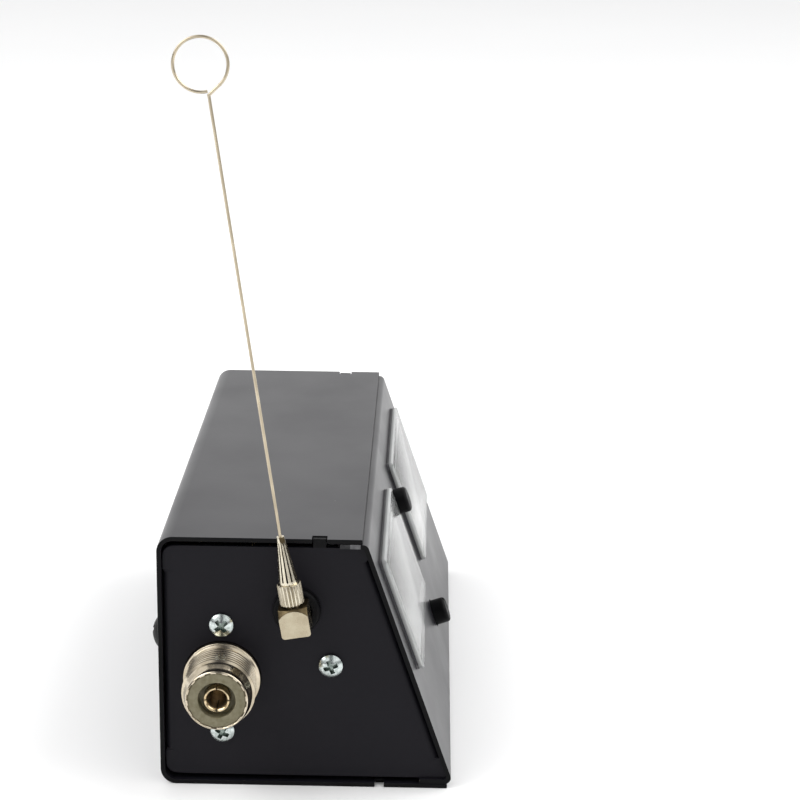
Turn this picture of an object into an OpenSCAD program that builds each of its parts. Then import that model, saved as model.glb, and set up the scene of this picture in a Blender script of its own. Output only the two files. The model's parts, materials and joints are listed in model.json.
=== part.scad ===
// Twin analog standing-wave-ratio meter: a sheet-metal box with a sloping front,
// two moving-coil meters, a coaxial socket in each end and a plug-in field-strength whip.
// Millimetres. The origin is the middle of the flat base, +Z up, the dials face -Y,
// and the whip stands on the -X end.

/* [Case] */
// Length of the case along X
case_l = 135; // [125:1:170]
// Height of the case
case_h = 58; // [54:0.5:80]
// Depth of the flat top
top_d = 45; // [42:0.5:60]
// Depth of the base
base_d = 65.2; // [60:0.1:85]
// Thickness of the steel sheet
sheet_t = 1; // [0.8:0.1:1.4]
// Outside radius of the cover's two rear bends
cover_bend_r = 3.5; // [2.5:0.1:6]
// Inside radius of the front panel's two bends
panel_bend_in = 0.4; // [0.3:0.1:2]
// Set-back of the cover's front edge at the top
cover_top_setback = 0.7; // [0.5:0.1:2]
// Set-back of the cover's front edge at the base
cover_base_setback = 1.8; // [1:0.1:4]
// Depth of the front panel's top return flange
top_flange_d = 5.5; // [4:0.5:10]
// Depth of the front panel's base return flange
base_flange_d = 8; // [5:0.5:12]
// Clearance between sheets that lie on each other
fit_gap = 0.1; // [0.05:0.05:0.2]

/* [End panels] */
// Inset of each end panel behind the cover's end
end_inset = 0.8; // [0.4:0.1:2]
// Outside radius of the end panels' bends
end_bend_r = 1.6; // [1.5:0.1:3]
// Width of the rear flange that takes the cover screw
rear_flange_w = 14; // [12:0.5:20]
// Width of the flange welded behind the front panel
front_flange_w = 4; // [4:0.5:7]
// Width of the locating notch in the cover's top edge
top_notch_w = 3.2; // [2:0.1:5]
// Depth of the locating notch along X
top_notch_d = 2.3; // [2.2:0.1:5]
// Distance of the top notch from the back
top_notch_from_back = 35.1; // [20:0.1:38]
// Width of the drain notch in the cover's base edge
base_notch_w = 2; // [1:0.1:4]
// Distance of the base notch from the back
base_notch_from_back = 48.4; // [30:0.1:52]
// Distance of the cover screws from the cover's ends
cover_screw_in = 10; // [9:0.5:12]
// Height of the cover screws
cover_screw_z = 32.2; // [25:0.1:40]
// Head diameter of the cover screws
cover_head_d = 8.5; // [6:0.1:9]
// Head height of the cover screws
cover_head_h = 2.4; // [1.5:0.1:3]

/* [Coaxial sockets] */
// Distance of the socket axis from the back
socket_from_back = 13.8; // [12:0.1:18]
// Height of the socket axis
socket_z = 25.3; // [24:0.1:32]
// Reach of the socket beyond its end panel
socket_out = 12.5; // [9:0.1:14]
// Outside diameter of the threaded barrel
barrel_d = 15.88; // [15.5:0.02:16.2]
// Diameter of the shoulder at the panel
shoulder_d = 16.9; // [16.6:0.1:18]
// Height of the shoulder beyond the panel
shoulder_h = 1.2; // [1:0.1:2.5]
// Bore of the barrel, filled by the insulator
barrel_bore_d = 12.4; // [11:0.1:13]
// Thickness of the oval flange
flange_t = 1.6; // [1:0.1:2.5]
// Spacing of the two flange screws
flange_screw_gap = 25; // [24.5:0.1:27]
// Diameter of the recess in the insulator's face
recess_d = 8.1; // [7:0.1:9]
// Depth of the recess in the insulator's face
recess_h = 2.6; // [1:0.1:4]
// Outside diameter of the centre contact
contact_d = 5.6; // [5:0.1:6]
// Bore of the centre contact
contact_bore_d = 4; // [3.6:0.05:4.2]

/* [Panel screws] */
// Shank diameter of the panel screws
screw_d = 2.9; // [2.5:0.1:3]
// Head diameter of the panel screws
screw_head_d = 5.2; // [5:0.1:6.4]
// Head height of the panel screws
screw_head_h = 1.7; // [1.4:0.1:2.4]
// Width across the flats of the nuts
nut_af = 5.5; // [5:0.1:6]
// Height of the nuts
nut_h = 2.4; // [2:0.1:3]
// Distance of the bracket screw from the back
bracket_screw_from_back = 37.6; // [34:0.1:39]
// Height of the bracket screw
bracket_screw_z = 28.7; // [28:0.1:32]

/* [Whip antenna] */
// Distance of the antenna jack from the back
jack_from_back = 30.2; // [27:0.1:32]
// Height of the antenna jack
jack_z = 41.6; // [40:0.1:44]
// Diameter of the jack's black collar
collar_d = 10.4; // [9:0.1:12]
// Height of the jack's collar
collar_h = 2.2; // [1.5:0.1:3]
// Lean of the whip towards the back
whip_lean = 9.6; // [0:0.1:20]
// Bend of the wire towards the upright where it leaves the collet
wire_bend = 1.1; // [0:0.1:3]
// Side of the square elbow block
elbow_w = 6.3; // [6:0.1:8]
// Diameter of the plug pin
pin_d = 3.5; // [3:0.1:3.6]
// Radial clearance of the plug pin in its contact
pin_gap = 0.05; // [0.02:0.01:0.1]
// Diameter of the knurled nut
knurl_d = 5.2; // [5:0.1:6.4]
// Height of the knurled nut
knurl_h = 4.6; // [4:0.1:8]
// Grooves of the straight knurl
knurl_count = 20; // [12:1:28]
// Height of the tapered collet
collet_h = 10.6; // [8:0.1:14]
// Diameter of the collet's foot
collet_d = 4.1; // [3.6:0.1:4.6]
// Diameter of the collet's tip
collet_tip_d = 1.6; // [1.4:0.1:2.4]
// Slots round the collet
collet_slots = 12; // [6:1:12]
// Diameter of the whip wire
wire_d = 0.65; // [0.6:0.05:0.9]
// Height of the ring's centre over the jack axis
ring_rise = 119.4; // [90:0.1:160]
// Outside diameter of the ring at the tip
ring_d = 11.7; // [9:0.1:12]
// Offset of the ring's centre towards the back
ring_off = 0.7; // [0:0.1:2]
// Distance of the kink below the ring's centre
kink_drop = 6.3; // [6.2:0.1:9]

/* [Meters] */
// Width of the lane between the two meter bodies, where the controls are
meter_lane_w = 16.1; // [14:0.1:20]
// Gap between each meter body and the end panel's front flange
meter_flange_gap = 1.95; // [1:0.05:5]
// Height of each meter window
window_h = 27; // [24:0.5:28]
// Corner radius of the windows
window_r = 1.6; // [1.4:0.1:3]
// Thickness of the clear window
window_t = 1.1; // [0.8:0.1:1.5]
// Rise of the black neck beyond the front panel
neck_out = 0.5; // [0.4:0.1:1.2]
// Distance of the windows' centre down the slope
meter_down = 21.8; // [21:0.1:23.5]
// Step of the meter body beyond the window all round
body_step = 0.75; // [0.6:0.05:0.9]
// Reach of the meter body below its window
body_below = 10.8; // [10.5:0.1:11]
// Depth of the meter body behind the front panel
body_depth = 14; // [14:0.5:15]
// Wall of the meter body
body_wall = 1.2; // [1:0.1:1.4]
// Depth of the dial plate behind the front panel's outer face
dial_depth = 3.8; // [3.7:0.1:4]
// Thickness of the dial plate
dial_t = 0.5; // [0.4:0.05:0.6]
// Distance of the pointer's pivot below the window's centre
pivot_below = 15.5; // [15:0.1:15.8]
// Length of the pointer from its pivot
pointer_len = 23; // [20:0.5:24]
// Half of the pointer's sweep
half_sweep = 38; // [30:1:40]
// Outside diameter of the return yoke
yoke_d = 12.4; // [12:0.1:12.8]
// Wall of the return yoke
yoke_wall = 1.3; // [1:0.1:1.4]
// Diameter of the magnet core
core_d = 6.4; // [6:0.1:6.6]
// Running gap on both sides of the moving coil
coil_gap = 0.45; // [0.35:0.05:0.5]

/* [Controls] */
// Diameter of the button and of the knob
control_d = 6.3; // [5.5:0.1:7]
// Rise of the button and of the knob beyond the front panel
control_out = 3.6; // [3.5:0.1:6]
// Radius of the rounded end edge
control_edge_r = 0.8; // [0.4:0.1:1.2]
// Radial clearance of the controls in the front panel
control_gap = 0.35; // [0.3:0.05:0.5]
// Distance of the button down the slope
button_down = 15.4; // [14:0.1:16.5]
// Distance of the knob down the slope
knob_down = 46; // [44:0.1:46.5]
// Travel of the button
button_travel = 2; // [1.5:0.1:2.2]
// Gap between the control board and the front panel
board_stand = 9; // [8.5:0.1:9.5]

/* [Coupler] */
// Thickness of both circuit boards
board_t = 1.6; // [1.2:0.1:1.8]
// Distance of the coupler board's ends from the end panels
coupler_end_gap = 8.7; // [7:0.1:10]
// Diameter of the line between the sockets
line_d = 3; // [2:0.1:3.2]
// Length of the two pick-up wires
pickup_l = 66; // [50:1:70]
// Distance of the pick-up wires from the line
pickup_off = 4; // [3.5:0.1:5]

/* [Hidden] */
$fn = 48;
// Overlap of a cutting solid beyond the face it cuts
over = 1;

// Case planes
back_y = base_d / 2;
front_top_y = back_y - top_d;
slope_a = atan((base_d - top_d) / case_h);
end_x = case_l / 2 - end_inset;
end_inner_x = end_x - sheet_t;
flange_top_z = case_h - sheet_t - fit_gap;
flange_base_z = sheet_t + fit_gap;
panel_hole_gap = 0.15;

// Height and depth at which a point of the sloping front lies, a set distance behind its outer face
function slope_y(z, depth) = front_top_y - (case_h - z) * tan(slope_a) + depth / cos(slope_a);

// Places the children on the front panel: x to the right, y up the slope, z outwards
module on_front(x, down) {
    translate([x, front_top_y - down * sin(slope_a), case_h - down * cos(slope_a)])
        rotate([90 - slope_a, 0, 0])
            children();
}

// Places the children on an end panel's outer face: y along Y, z outwards, x vertical
module on_end(side, y, z) {
    translate([side * end_x, y, z])
        rotate([0, side * 90, 0])
            children();
}

// Extrudes a profile drawn in Y and Z along X, centred
module along_x(length) {
    rotate([90, 0, 90])
        linear_extrude(length, center = true)
            children();
}

// Rectangle with round corners, centred
module round_rect(w, h, r) {
    square([w - 2 * r, h], center = true);
    square([w, h - 2 * r], center = true);
    for (sx = [-1, 1], sy = [-1, 1])
        translate([sx * (w / 2 - r), sy * (h / 2 - r)])
            circle(r);
}

// Ring of a given height, standing on z = 0
module tube(outer_r, inner_r, h) {
    difference() {
        cylinder(r = outer_r, h = h);
        translate([0, 0, -over])
            cylinder(r = inner_r, h = h + 2 * over);
    }
}

// Pan or dome screw: the head stands on z = 0, the shank runs down
module screw(shank_d, head_d, head_h, crown, length) {
    head_r = head_d / 2;
    dome_r = (head_r * head_r + crown * crown) / (2 * crown);
    intersection() {
        cylinder(r = head_r, h = head_h);
        translate([0, 0, head_h - dome_r])
            sphere(dome_r, $fn = 96);
    }
    translate([0, 0, -length])
        cylinder(d = shank_d, h = length + over / 2);
}

// Hexagon nut hanging below z = 0
module nut() {
    translate([0, 0, -nut_h])
        difference() {
            cylinder(d = nut_af / cos(30), h = nut_h, $fn = 6);
            translate([0, 0, -over])
                cylinder(d = screw_d + 2 * fit_gap, h = nut_h + 2 * over);
        }
}

// Wrap cover: one sheet bent round the top, the back and the base

// Area inside the cover's outer face, moved inwards by an inset, open to the front
module cover_area(inset) {
    r = cover_bend_r - inset;
    front = -base_d;
    translate([front, inset])
        square([back_y - inset - r - front, case_h - 2 * inset]);
    translate([front, inset + r])
        square([back_y - inset - front, case_h - 2 * inset - 2 * r]);
    for (z = [inset + r, case_h - inset - r])
        translate([back_y - inset - r, z])
            circle(r);
}

module wrap_cover() {
    top_front = front_top_y + cover_top_setback;
    base_front = -back_y + cover_base_setback;
    color("#26262a")
        difference() {
            along_x(case_l)
                difference() {
                    cover_area(0);
                    cover_area(sheet_t);
                    translate([-2 * base_d, case_h / 2])
                        square([2 * base_d + top_front, case_h]);
                    translate([-2 * base_d, -over])
                        square([2 * base_d + base_front, case_h / 2 + over]);
                }
            for (side = [-1, 1]) {
                translate([side * case_l / 2, back_y - top_notch_from_back, case_h])
                    cube([2 * top_notch_d, top_notch_w, 3 * sheet_t], center = true);
                translate([side * case_l / 2, back_y - base_notch_from_back, 0])
                    cube([2 * top_notch_d, base_notch_w, 3 * sheet_t], center = true);
                translate([side * (case_l / 2 - cover_screw_in), back_y, cover_screw_z])
                    rotate([90, 0, 0])
                        cylinder(d = screw_d + 4 * fit_gap, h = 4 * sheet_t, center = true);
            }
        }
}

cover_screw_l = 7;

module cover_screws() {
    color("#17171a")
        for (side = [-1, 1])
            translate([side * (case_l / 2 - cover_screw_in), back_y, cover_screw_z])
                rotate([-90, 0, 0])
                    screw(screw_d, cover_head_d, cover_head_h, cover_head_h * 0.9, cover_screw_l);
}

// Front panel: sloping sheet with a return flange at the top and at the base

// Area behind the sloping face, moved inwards by an inset, its two bends rounded.
// Each bend's circle is a hair smaller than its tangent circle, so that it never grazes a flat.
graze = 0.002;
corner_lap = 0.08;

module panel_area(inset) {
    r = panel_bend_in + sheet_t - inset;
    top_z = flange_top_z - inset;
    base_z = flange_base_z + inset;
    top_y = slope_y(top_z, inset);
    base_y = slope_y(base_z, inset);
    top_run = r / tan((90 + slope_a) / 2);
    base_run = r / tan((90 - slope_a) / 2);
    lap = min(corner_lap, r / 4);
    top_cut = top_run - lap;
    base_cut = base_run - lap;
    polygon([
        [base_d, base_z],
        [base_y + base_cut, base_z],
        [base_y + base_cut * sin(slope_a), base_z + base_cut * cos(slope_a)],
        [top_y - top_cut * sin(slope_a), top_z - top_cut * cos(slope_a)],
        [top_y + top_cut, top_z],
        [base_d, top_z]
    ]);
    translate([top_y + top_run, top_z - r])
        circle(r - graze);
    translate([base_y + base_run, base_z + r])
        circle(r - graze);
}

// Section of the front panel: slope, two bends and two flanges
module panel_section() {
    difference() {
        panel_area(0);
        panel_area(sheet_t);
        translate([front_top_y + top_flange_d, flange_top_z - 2 * sheet_t])
            square([2 * base_d, case_h]);
        translate([base_flange_d - back_y, -over])
            square([2 * base_d, flange_base_z + 2 * sheet_t + over]);
        translate([back_y, -over])
            square([2 * base_d, case_h + 2 * over]);
    }
}

stud_d = 3;
stud_from_button = 8.6;
stud_from_knob = 10;
stud_down = [button_down + stud_from_button, knob_down - stud_from_knob];
stud_l = board_stand + board_t + nut_h + 1;
body_gap = 0.15;

module front_panel() {
    color("#303034") {
        difference() {
            along_x(case_l)
                panel_section();
            for (side = [-1, 1]) {
                on_front(side * meter_x, meter_down)
                    linear_extrude(4 * sheet_t, center = true)
                        round_rect(window_w + 2 * body_gap, window_h + 2 * body_gap, window_r + body_gap);
            }
            for (down = [button_down, knob_down]) {
                on_front(0, down)
                    cylinder(d = control_d + 2 * control_gap, h = 4 * sheet_t, center = true);
            }
        }
        for (down = stud_down) {
            on_front(0, down)
                translate([0, 0, -sheet_t - stud_l])
                    cylinder(d = stud_d, h = stud_l + sheet_t / 2);
        }
    }
}

// End panels: inset plates with a rear flange for the cover screw,
// a sloping flange welded behind the front panel and a tab in the cover's notch
plate_top_z = flange_top_z - sheet_t - fit_gap;
plate_base_z = flange_base_z + sheet_t + fit_gap;
plate_back_y = back_y - sheet_t - fit_gap;
plate_corner_r = cover_bend_r - sheet_t;
socket_y = back_y - socket_from_back;
jack_y = back_y - jack_from_back;
bracket_y = back_y - bracket_screw_from_back;
tab_gap = 0.2;
plate_front_depth = sheet_t + fit_gap;

module plate_area() {
    r = plate_corner_r;
    // the front edge and its corners follow the inside of the front panel
    intersection() {
        union() {
            translate([-base_d, plate_base_z])
                square([base_d + plate_back_y - r, plate_top_z - plate_base_z]);
            translate([-base_d, plate_base_z + r])
                square([base_d + plate_back_y, plate_top_z - plate_base_z - 2 * r]);
            for (z = [plate_base_z + r, plate_top_z - r])
                translate([plate_back_y - r, z])
                    circle(r);
        }
        panel_area(plate_front_depth);
    }
    translate([back_y - top_notch_from_back - top_notch_w / 2 + tab_gap, plate_top_z - sheet_t])
        square([top_notch_w - 2 * tab_gap, case_h - plate_top_z + sheet_t - tab_gap]);
}

// Section of a flange bent from an edge: flat on x down to -width, the sheet's outer corner at the origin,
// the root of the bend running on into the plate
flange_root = 1;

module flange_section(width) {
    translate([-width, 0])
        square([width - end_bend_r, sheet_t]);
    translate([-end_bend_r, end_bend_r])
        intersection() {
            difference() {
                circle(end_bend_r);
                circle(end_bend_r - sheet_t);
            }
            translate([0, -2 * end_bend_r])
                square(2 * end_bend_r);
        }
    translate([-sheet_t, end_bend_r])
        square([sheet_t, flange_root]);
}

rear_flange_in = 6;
rear_flange_base = plate_base_z + rear_flange_in;
rear_flange_top = plate_top_z - rear_flange_in;
front_flange_up = 5;
front_flange_down = 8;
// Bend relief past each end of a flange
relief = 0.25;

module end_plate(side) {
    front_l = case_h / cos(slope_a) - front_flange_up - front_flange_down;
    rear_l = rear_flange_top - rear_flange_base;
    cut_d = 2 * end_bend_r + flange_root;
    difference() {
        union() {
            difference() {
                translate([side * (end_x - sheet_t / 2), 0, 0])
                    along_x(sheet_t)
                        plate_area();
                // the flanged edges give way to their bends
                translate([side * end_x, plate_back_y, (rear_flange_base + rear_flange_top) / 2])
                    cube([4 * end_bend_r, cut_d, rear_l + 2 * relief], center = true);
                on_front(side * end_x, front_flange_up + front_l / 2)
                    translate([0, 0, -plate_front_depth])
                        cube([4 * end_bend_r, front_l + 2 * relief, cut_d], center = true);
            }
            translate([side * end_x, plate_back_y, rear_flange_base])
                mirror([side < 0 ? 1 : 0, 0, 0])
                    mirror([0, 1, 0])
                        linear_extrude(rear_l)
                            flange_section(rear_flange_w);
            on_front(side * end_x, front_flange_up + front_l)
                translate([0, 0, -plate_front_depth])
                    mirror([side < 0 ? 1 : 0, 0, 0])
                        rotate([-90, 0, 0])
                            mirror([0, 0, 1])
                                translate([0, 0, -front_l])
                                    linear_extrude(front_l)
                                        flange_section(front_flange_w);
        }
        on_end(side, socket_y, socket_z) {
            cylinder(d = shoulder_d + 2 * panel_hole_gap, h = 6 * sheet_t, center = true);
            for (s = [-1, 1])
                translate([s * flange_screw_gap / 2, 0, 0])
                    cylinder(d = screw_d + 2 * panel_hole_gap, h = 6 * sheet_t, center = true);
        }
        on_end(side, bracket_y, bracket_screw_z)
            cylinder(d = screw_d + 2 * panel_hole_gap, h = 6 * sheet_t, center = true);
        translate([side * (case_l / 2 - cover_screw_in), plate_back_y, cover_screw_z])
            rotate([90, 0, 0])
                cylinder(d = screw_d + fit_gap, h = 4 * sheet_t, center = true);
    }
}

module left_end_panel() {
    color("#232327")
        difference() {
            end_plate(-1);
            on_end(-1, jack_y, jack_z)
                cylinder(d = bushing_d + 2 * panel_hole_gap, h = 6 * sheet_t, center = true);
        }
}

module right_end_panel() {
    color("#232327")
        end_plate(1);
}

// Coaxial sockets: a flanged shell behind the panel, its insulator and its split centre contact
flange_r = 10;
ear_r = 4;
rear_hub_h = 3;
// The thinner rim in front of the thread
rim_l = 2.5;
rim_chamfer = 0.6;
rim_drop = 1.15;
insulator_sink = 0.2;
insulator_rear = 5.5;
contact_sink = 0.4;
contact_rear = 7;
cup_d = 3.4;
cup_rear = 12;
contact_bore_h = 12;
contact_slit_w = 0.6;
contact_slit_h = 4.5;
socket_gap = 0.02;

module flange_outline() {
    ear_x = flange_screw_gap / 2;
    lean = acos((flange_r - ear_r) / ear_x);
    circle(flange_r);
    for (s = [-1, 1]) {
        translate([s * ear_x, 0])
            circle(ear_r);
        polygon([
            [s * flange_r * cos(lean), flange_r * sin(lean)],
            [s * (ear_x + ear_r * cos(lean)), ear_r * sin(lean)],
            [s * (ear_x + ear_r * cos(lean)), -ear_r * sin(lean)],
            [s * flange_r * cos(lean), -flange_r * sin(lean)]
        ]);
    }
}

module socket_shell(side) {
    color("#b9b2a2")
        on_end(side, socket_y, socket_z)
            difference() {
                union() {
                    translate([0, 0, -sheet_t - flange_t])
                        linear_extrude(flange_t)
                            flange_outline();
                    translate([0, 0, -sheet_t - flange_t - rear_hub_h])
                        cylinder(d = barrel_bore_d + 2, h = rear_hub_h);
                    translate([0, 0, -sheet_t])
                        cylinder(d = shoulder_d, h = sheet_t + shoulder_h);
                    translate([0, 0, shoulder_h])
                        cylinder(d = barrel_d, h = socket_out - shoulder_h - rim_l);
                    translate([0, 0, socket_out - rim_l])
                        cylinder(r1 = barrel_d / 2, r2 = barrel_d / 2 - rim_drop, h = rim_chamfer);
                    translate([0, 0, socket_out - rim_l])
                        cylinder(r = barrel_d / 2 - rim_drop, h = rim_l);
                }
                translate([0, 0, -2 * socket_out])
                    cylinder(d = barrel_bore_d, h = 4 * socket_out);
                for (s = [-1, 1])
                    translate([s * flange_screw_gap / 2, 0, -4 * flange_t])
                        cylinder(d = screw_d + 2 * panel_hole_gap, h = 6 * flange_t);
            }
}

module socket_insulator(side) {
    face_z = socket_out - insulator_sink;
    color("#a39c74")
        on_end(side, socket_y, socket_z)
            difference() {
                translate([0, 0, -insulator_rear])
                    cylinder(d = barrel_bore_d - 2 * socket_gap, h = insulator_rear + face_z);
                translate([0, 0, -2 * socket_out])
                    cylinder(d = contact_d + 2 * socket_gap, h = 4 * socket_out);
                translate([0, 0, face_z - recess_h])
                    cylinder(d = recess_d, h = recess_h + over);
            }
}

module socket_contact(side) {
    front_z = socket_out - contact_sink;
    color("#b08a45")
        on_end(side, socket_y, socket_z)
            difference() {
                union() {
                    translate([0, 0, -contact_rear])
                        cylinder(d = contact_d, h = contact_rear + front_z);
                    translate([0, 0, -cup_rear])
                        cylinder(d = cup_d, h = cup_rear);
                }
                translate([0, 0, front_z - contact_bore_h])
                    cylinder(d = contact_bore_d, h = contact_bore_h + over);
                for (turn = [0, 90])
                    rotate(turn)
                        translate([-contact_d, -contact_slit_w / 2, front_z - contact_slit_h])
                            cube([2 * contact_d, contact_slit_w, contact_slit_h + over]);
            }
}

// Screws and nuts of the end panels: two through each socket flange, one through each board bracket
bracket_t = 1.2;
screw_l = 7;

module at_panel_screws(side) {
    on_end(side, socket_y, socket_z)
        for (s = [-1, 1])
            translate([s * flange_screw_gap / 2, 0, 0])
                children(0);
    on_end(side, bracket_y, bracket_screw_z)
        children(1);
}

module panel_screws() {
    color("#c4c9c8")
        for (side = [-1, 1])
            at_panel_screws(side) {
                screw(screw_d, screw_head_d, screw_head_h, screw_head_h * 0.6, screw_l);
                screw(screw_d, screw_head_d, screw_head_h, screw_head_h * 0.6, screw_l);
            }
}

module panel_nuts() {
    color("#b5b9b8")
        for (side = [-1, 1])
            at_panel_screws(side) {
                translate([0, 0, -sheet_t - flange_t])
                    nut();
                translate([0, 0, -sheet_t - bracket_t])
                    nut();
            }
}

// Board brackets: an upright leaf on the end panel and a ledge under the coupler board
board_top_z = socket_z - cup_d / 2 - 0.15;
board_z = board_top_z - board_t;
ledge_l = 15;
ledge_front_y = bracket_y + 2.5;
ledge_back_y = socket_y - flange_r - 0.8;
leaf_front_y = bracket_y - 4.5;
leaf_top_z = bracket_screw_z + 4.5;
board_screw_in = 12;
board_screw_y = (ledge_front_y + ledge_back_y) / 2;

module board_bracket(side) {
    color("#9aa0a2")
        difference() {
            union() {
                translate([side * (end_inner_x - bracket_t / 2), 0, 0])
                    translate([-bracket_t / 2, leaf_front_y, board_z - bracket_t])
                        cube([bracket_t, ledge_back_y - leaf_front_y, leaf_top_z - board_z + bracket_t]);
                translate([side * (end_inner_x - ledge_l / 2), 0, 0])
                    translate([-ledge_l / 2, ledge_front_y, board_z - bracket_t])
                        cube([ledge_l, ledge_back_y - ledge_front_y, bracket_t]);
            }
            on_end(side, bracket_y, bracket_screw_z)
                cylinder(d = screw_d + 2 * panel_hole_gap, h = 8 * bracket_t, center = true);
            translate([side * (end_inner_x - board_screw_in), board_screw_y, board_z])
                cylinder(d = screw_d + fit_gap, h = 4 * bracket_t, center = true);
        }
}

module board_screws() {
    color("#c4c9c8")
        for (side = [-1, 1])
            translate([side * (end_inner_x - board_screw_in), board_screw_y, board_top_z])
                screw(screw_d, screw_head_d, screw_head_h, screw_head_h * 0.6, board_t + bracket_t + 1.5);
}

// Coupler: a board under the line that joins the two sockets, with two pick-up wires,
// each ended by a load resistor and a detector diode
coupler_l = 2 * (end_inner_x - coupler_end_gap);
coupler_front_y = ledge_front_y + 0.5;
coupler_back_y = plate_back_y - sheet_t - 1;
lead_d = 0.6;
pickup_d = 0.9;
part_x = pickup_l / 2 + 5;
part_off = pickup_off + 4;
resistor_d = 2.3;
resistor_l = 6;
resistor_span = 9;
diode_d = 1.8;
diode_l = 4;
diode_span = 8;
capacitor_d = 5;
capacitor_t = 2.4;
capacitor_in = 8;
capacitor_off = 7;

module coupler_board() {
    color("#7d6a35")
        difference() {
            translate([-coupler_l / 2, coupler_front_y, board_z])
                cube([coupler_l, coupler_back_y - coupler_front_y, board_t]);
            for (side = [-1, 1])
                translate([side * (end_inner_x - board_screw_in), board_screw_y, board_z])
                    cylinder(d = screw_d + 2 * panel_hole_gap, h = 4 * board_t, center = true);
        }
}

module coupler_line() {
    line_l = 2 * (end_x - cup_rear) - 2 * fit_gap;
    color("#b08d57")
        translate([-line_l / 2, socket_y, socket_z])
            rotate([0, 90, 0])
                cylinder(d = line_d, h = line_l);
}

module pickup_wires() {
    color("#b87333")
        for (s = [-1, 1])
            translate([-pickup_l / 2, socket_y + s * pickup_off, board_top_z + pickup_d / 2])
                rotate([0, 90, 0])
                    cylinder(d = pickup_d, h = pickup_l);
}

// Axial part lying along Y over the board: body and two leads bent down to the board
module axial_part(body_d, body_l, span) {
    rise = body_d / 2 + 0.3;
    translate([0, 0, rise])
        rotate([90, 0, 0])
            cylinder(d = body_d, h = body_l, center = true);
    translate([0, 0, rise])
        rotate([90, 0, 0])
            cylinder(d = lead_d, h = span, center = true);
    for (s = [-1, 1])
        translate([0, s * span / 2, 0]) {
            cylinder(d = lead_d, h = rise);
            translate([0, 0, rise])
                sphere(d = lead_d);
        }
}

module load_resistors() {
    color("#c9a878")
        for (s = [-1, 1])
            translate([s * part_x, socket_y + s * part_off, board_top_z])
                axial_part(resistor_d, resistor_l, resistor_span);
}

module detector_diodes() {
    color("#a8441f")
        for (s = [-1, 1])
            translate([-s * part_x, socket_y + s * part_off, board_top_z])
                axial_part(diode_d, diode_l, diode_span);
}

module bypass_capacitors() {
    color("#c08a3a")
        for (s = [-1, 1])
            translate([s * (part_x - capacitor_in), socket_y - pickup_off - capacitor_off, board_top_z]) {
                translate([0, 0, capacitor_d / 2 + 1])
                    rotate([90, 0, 0])
                        cylinder(d = capacitor_d, h = capacitor_t, center = true);
                for (x = [-1, 1])
                    translate([x * capacitor_d / 4, 0, 0])
                        cylinder(d = lead_d, h = capacitor_d / 2);
            }
}

// Antenna jack: an insulating bushing through the left end panel, its collar and its contact
bushing_d = 6.4;
bushing_flange_d = 10;
bushing_flange_h = 1.5;
bushing_rear = 5.5;
jack_contact_wall = 0.5;
jack_contact_rear = 6.5;
jack_front = 0.3;

module jack_bushing() {
    color("#18181a")
        on_end(-1, jack_y, jack_z)
            difference() {
                union() {
                    translate([0, 0, -sheet_t - bushing_flange_h])
                        cylinder(d = bushing_flange_d, h = bushing_flange_h);
                    translate([0, 0, -bushing_rear])
                        cylinder(d = bushing_d, h = bushing_rear + collar_h - jack_front);
                }
                translate([0, 0, -2 * bushing_rear])
                    cylinder(r = pin_d / 2 + pin_gap + jack_contact_wall + socket_gap, h = 4 * bushing_rear);
            }
}

module jack_collar() {
    edge = 0.5;
    inner_r = bushing_d / 2 + fit_gap;
    color("#1b1b1d")
        on_end(-1, jack_y, jack_z)
            rotate_extrude()
                polygon([
                    [inner_r, 0],
                    [collar_d / 2, 0],
                    [collar_d / 2, collar_h - edge],
                    [collar_d / 2 - edge, collar_h],
                    [inner_r, collar_h]
                ]);
}

module jack_contact() {
    outer_r = pin_d / 2 + pin_gap + jack_contact_wall;
    color("#b9a26a")
        on_end(-1, jack_y, jack_z)
            difference() {
                translate([0, 0, -jack_contact_rear])
                    cylinder(r = outer_r, h = jack_contact_rear + collar_h - 2 * jack_front);
                translate([0, 0, -jack_contact_rear + jack_contact_wall])
                    cylinder(r = pin_d / 2 + pin_gap, h = 2 * jack_contact_rear);
            }
}

// Whip: elbow with its plug pin, knurled nut, slotted collet and the ringed wire
elbow_gap = 0.3;
elbow_x = collar_h + elbow_gap + elbow_w / 2;
pin_l = jack_contact_rear + collar_h - 1;
stub_d = 3.2;
nut_foot = elbow_w / 2 + 0.6;
nut_top = nut_foot + knurl_h;
nut_roof = 0.7;
stub_h = knurl_h - nut_roof;
collet_top = nut_top + collet_h;
collet_foot = 0.7;
collet_sleeve = 1.2;
// Share of the collet's round that its slots take
collet_open = 0.36;
wire_foot = nut_top - nut_roof;
// The wire leaves its kink on a tangent to the ring's front side and closes the ring short of itself
ring_r = (ring_d - wire_d) / 2;
kink_to_ring = norm([ring_off, kink_drop]);
tangent_l = sqrt(kink_to_ring * kink_to_ring - ring_r * ring_r);
tangent_a = atan2(kink_drop, ring_off) + asin(ring_r / kink_to_ring);
ring_close_gap = 0.08;
wire_bend_extra = 0.08;
ring_open_a = acos(1 - (wire_d + ring_close_gap) / ring_r);
ring_start_a = tangent_a + 90 + ring_open_a;

// Frame of the whip: origin on the jack axis over the middle of the elbow, z along the whip
module on_whip() {
    translate([-end_x - elbow_x, jack_y, jack_z])
        rotate([-whip_lean, 0, 0])
            children();
}

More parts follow.
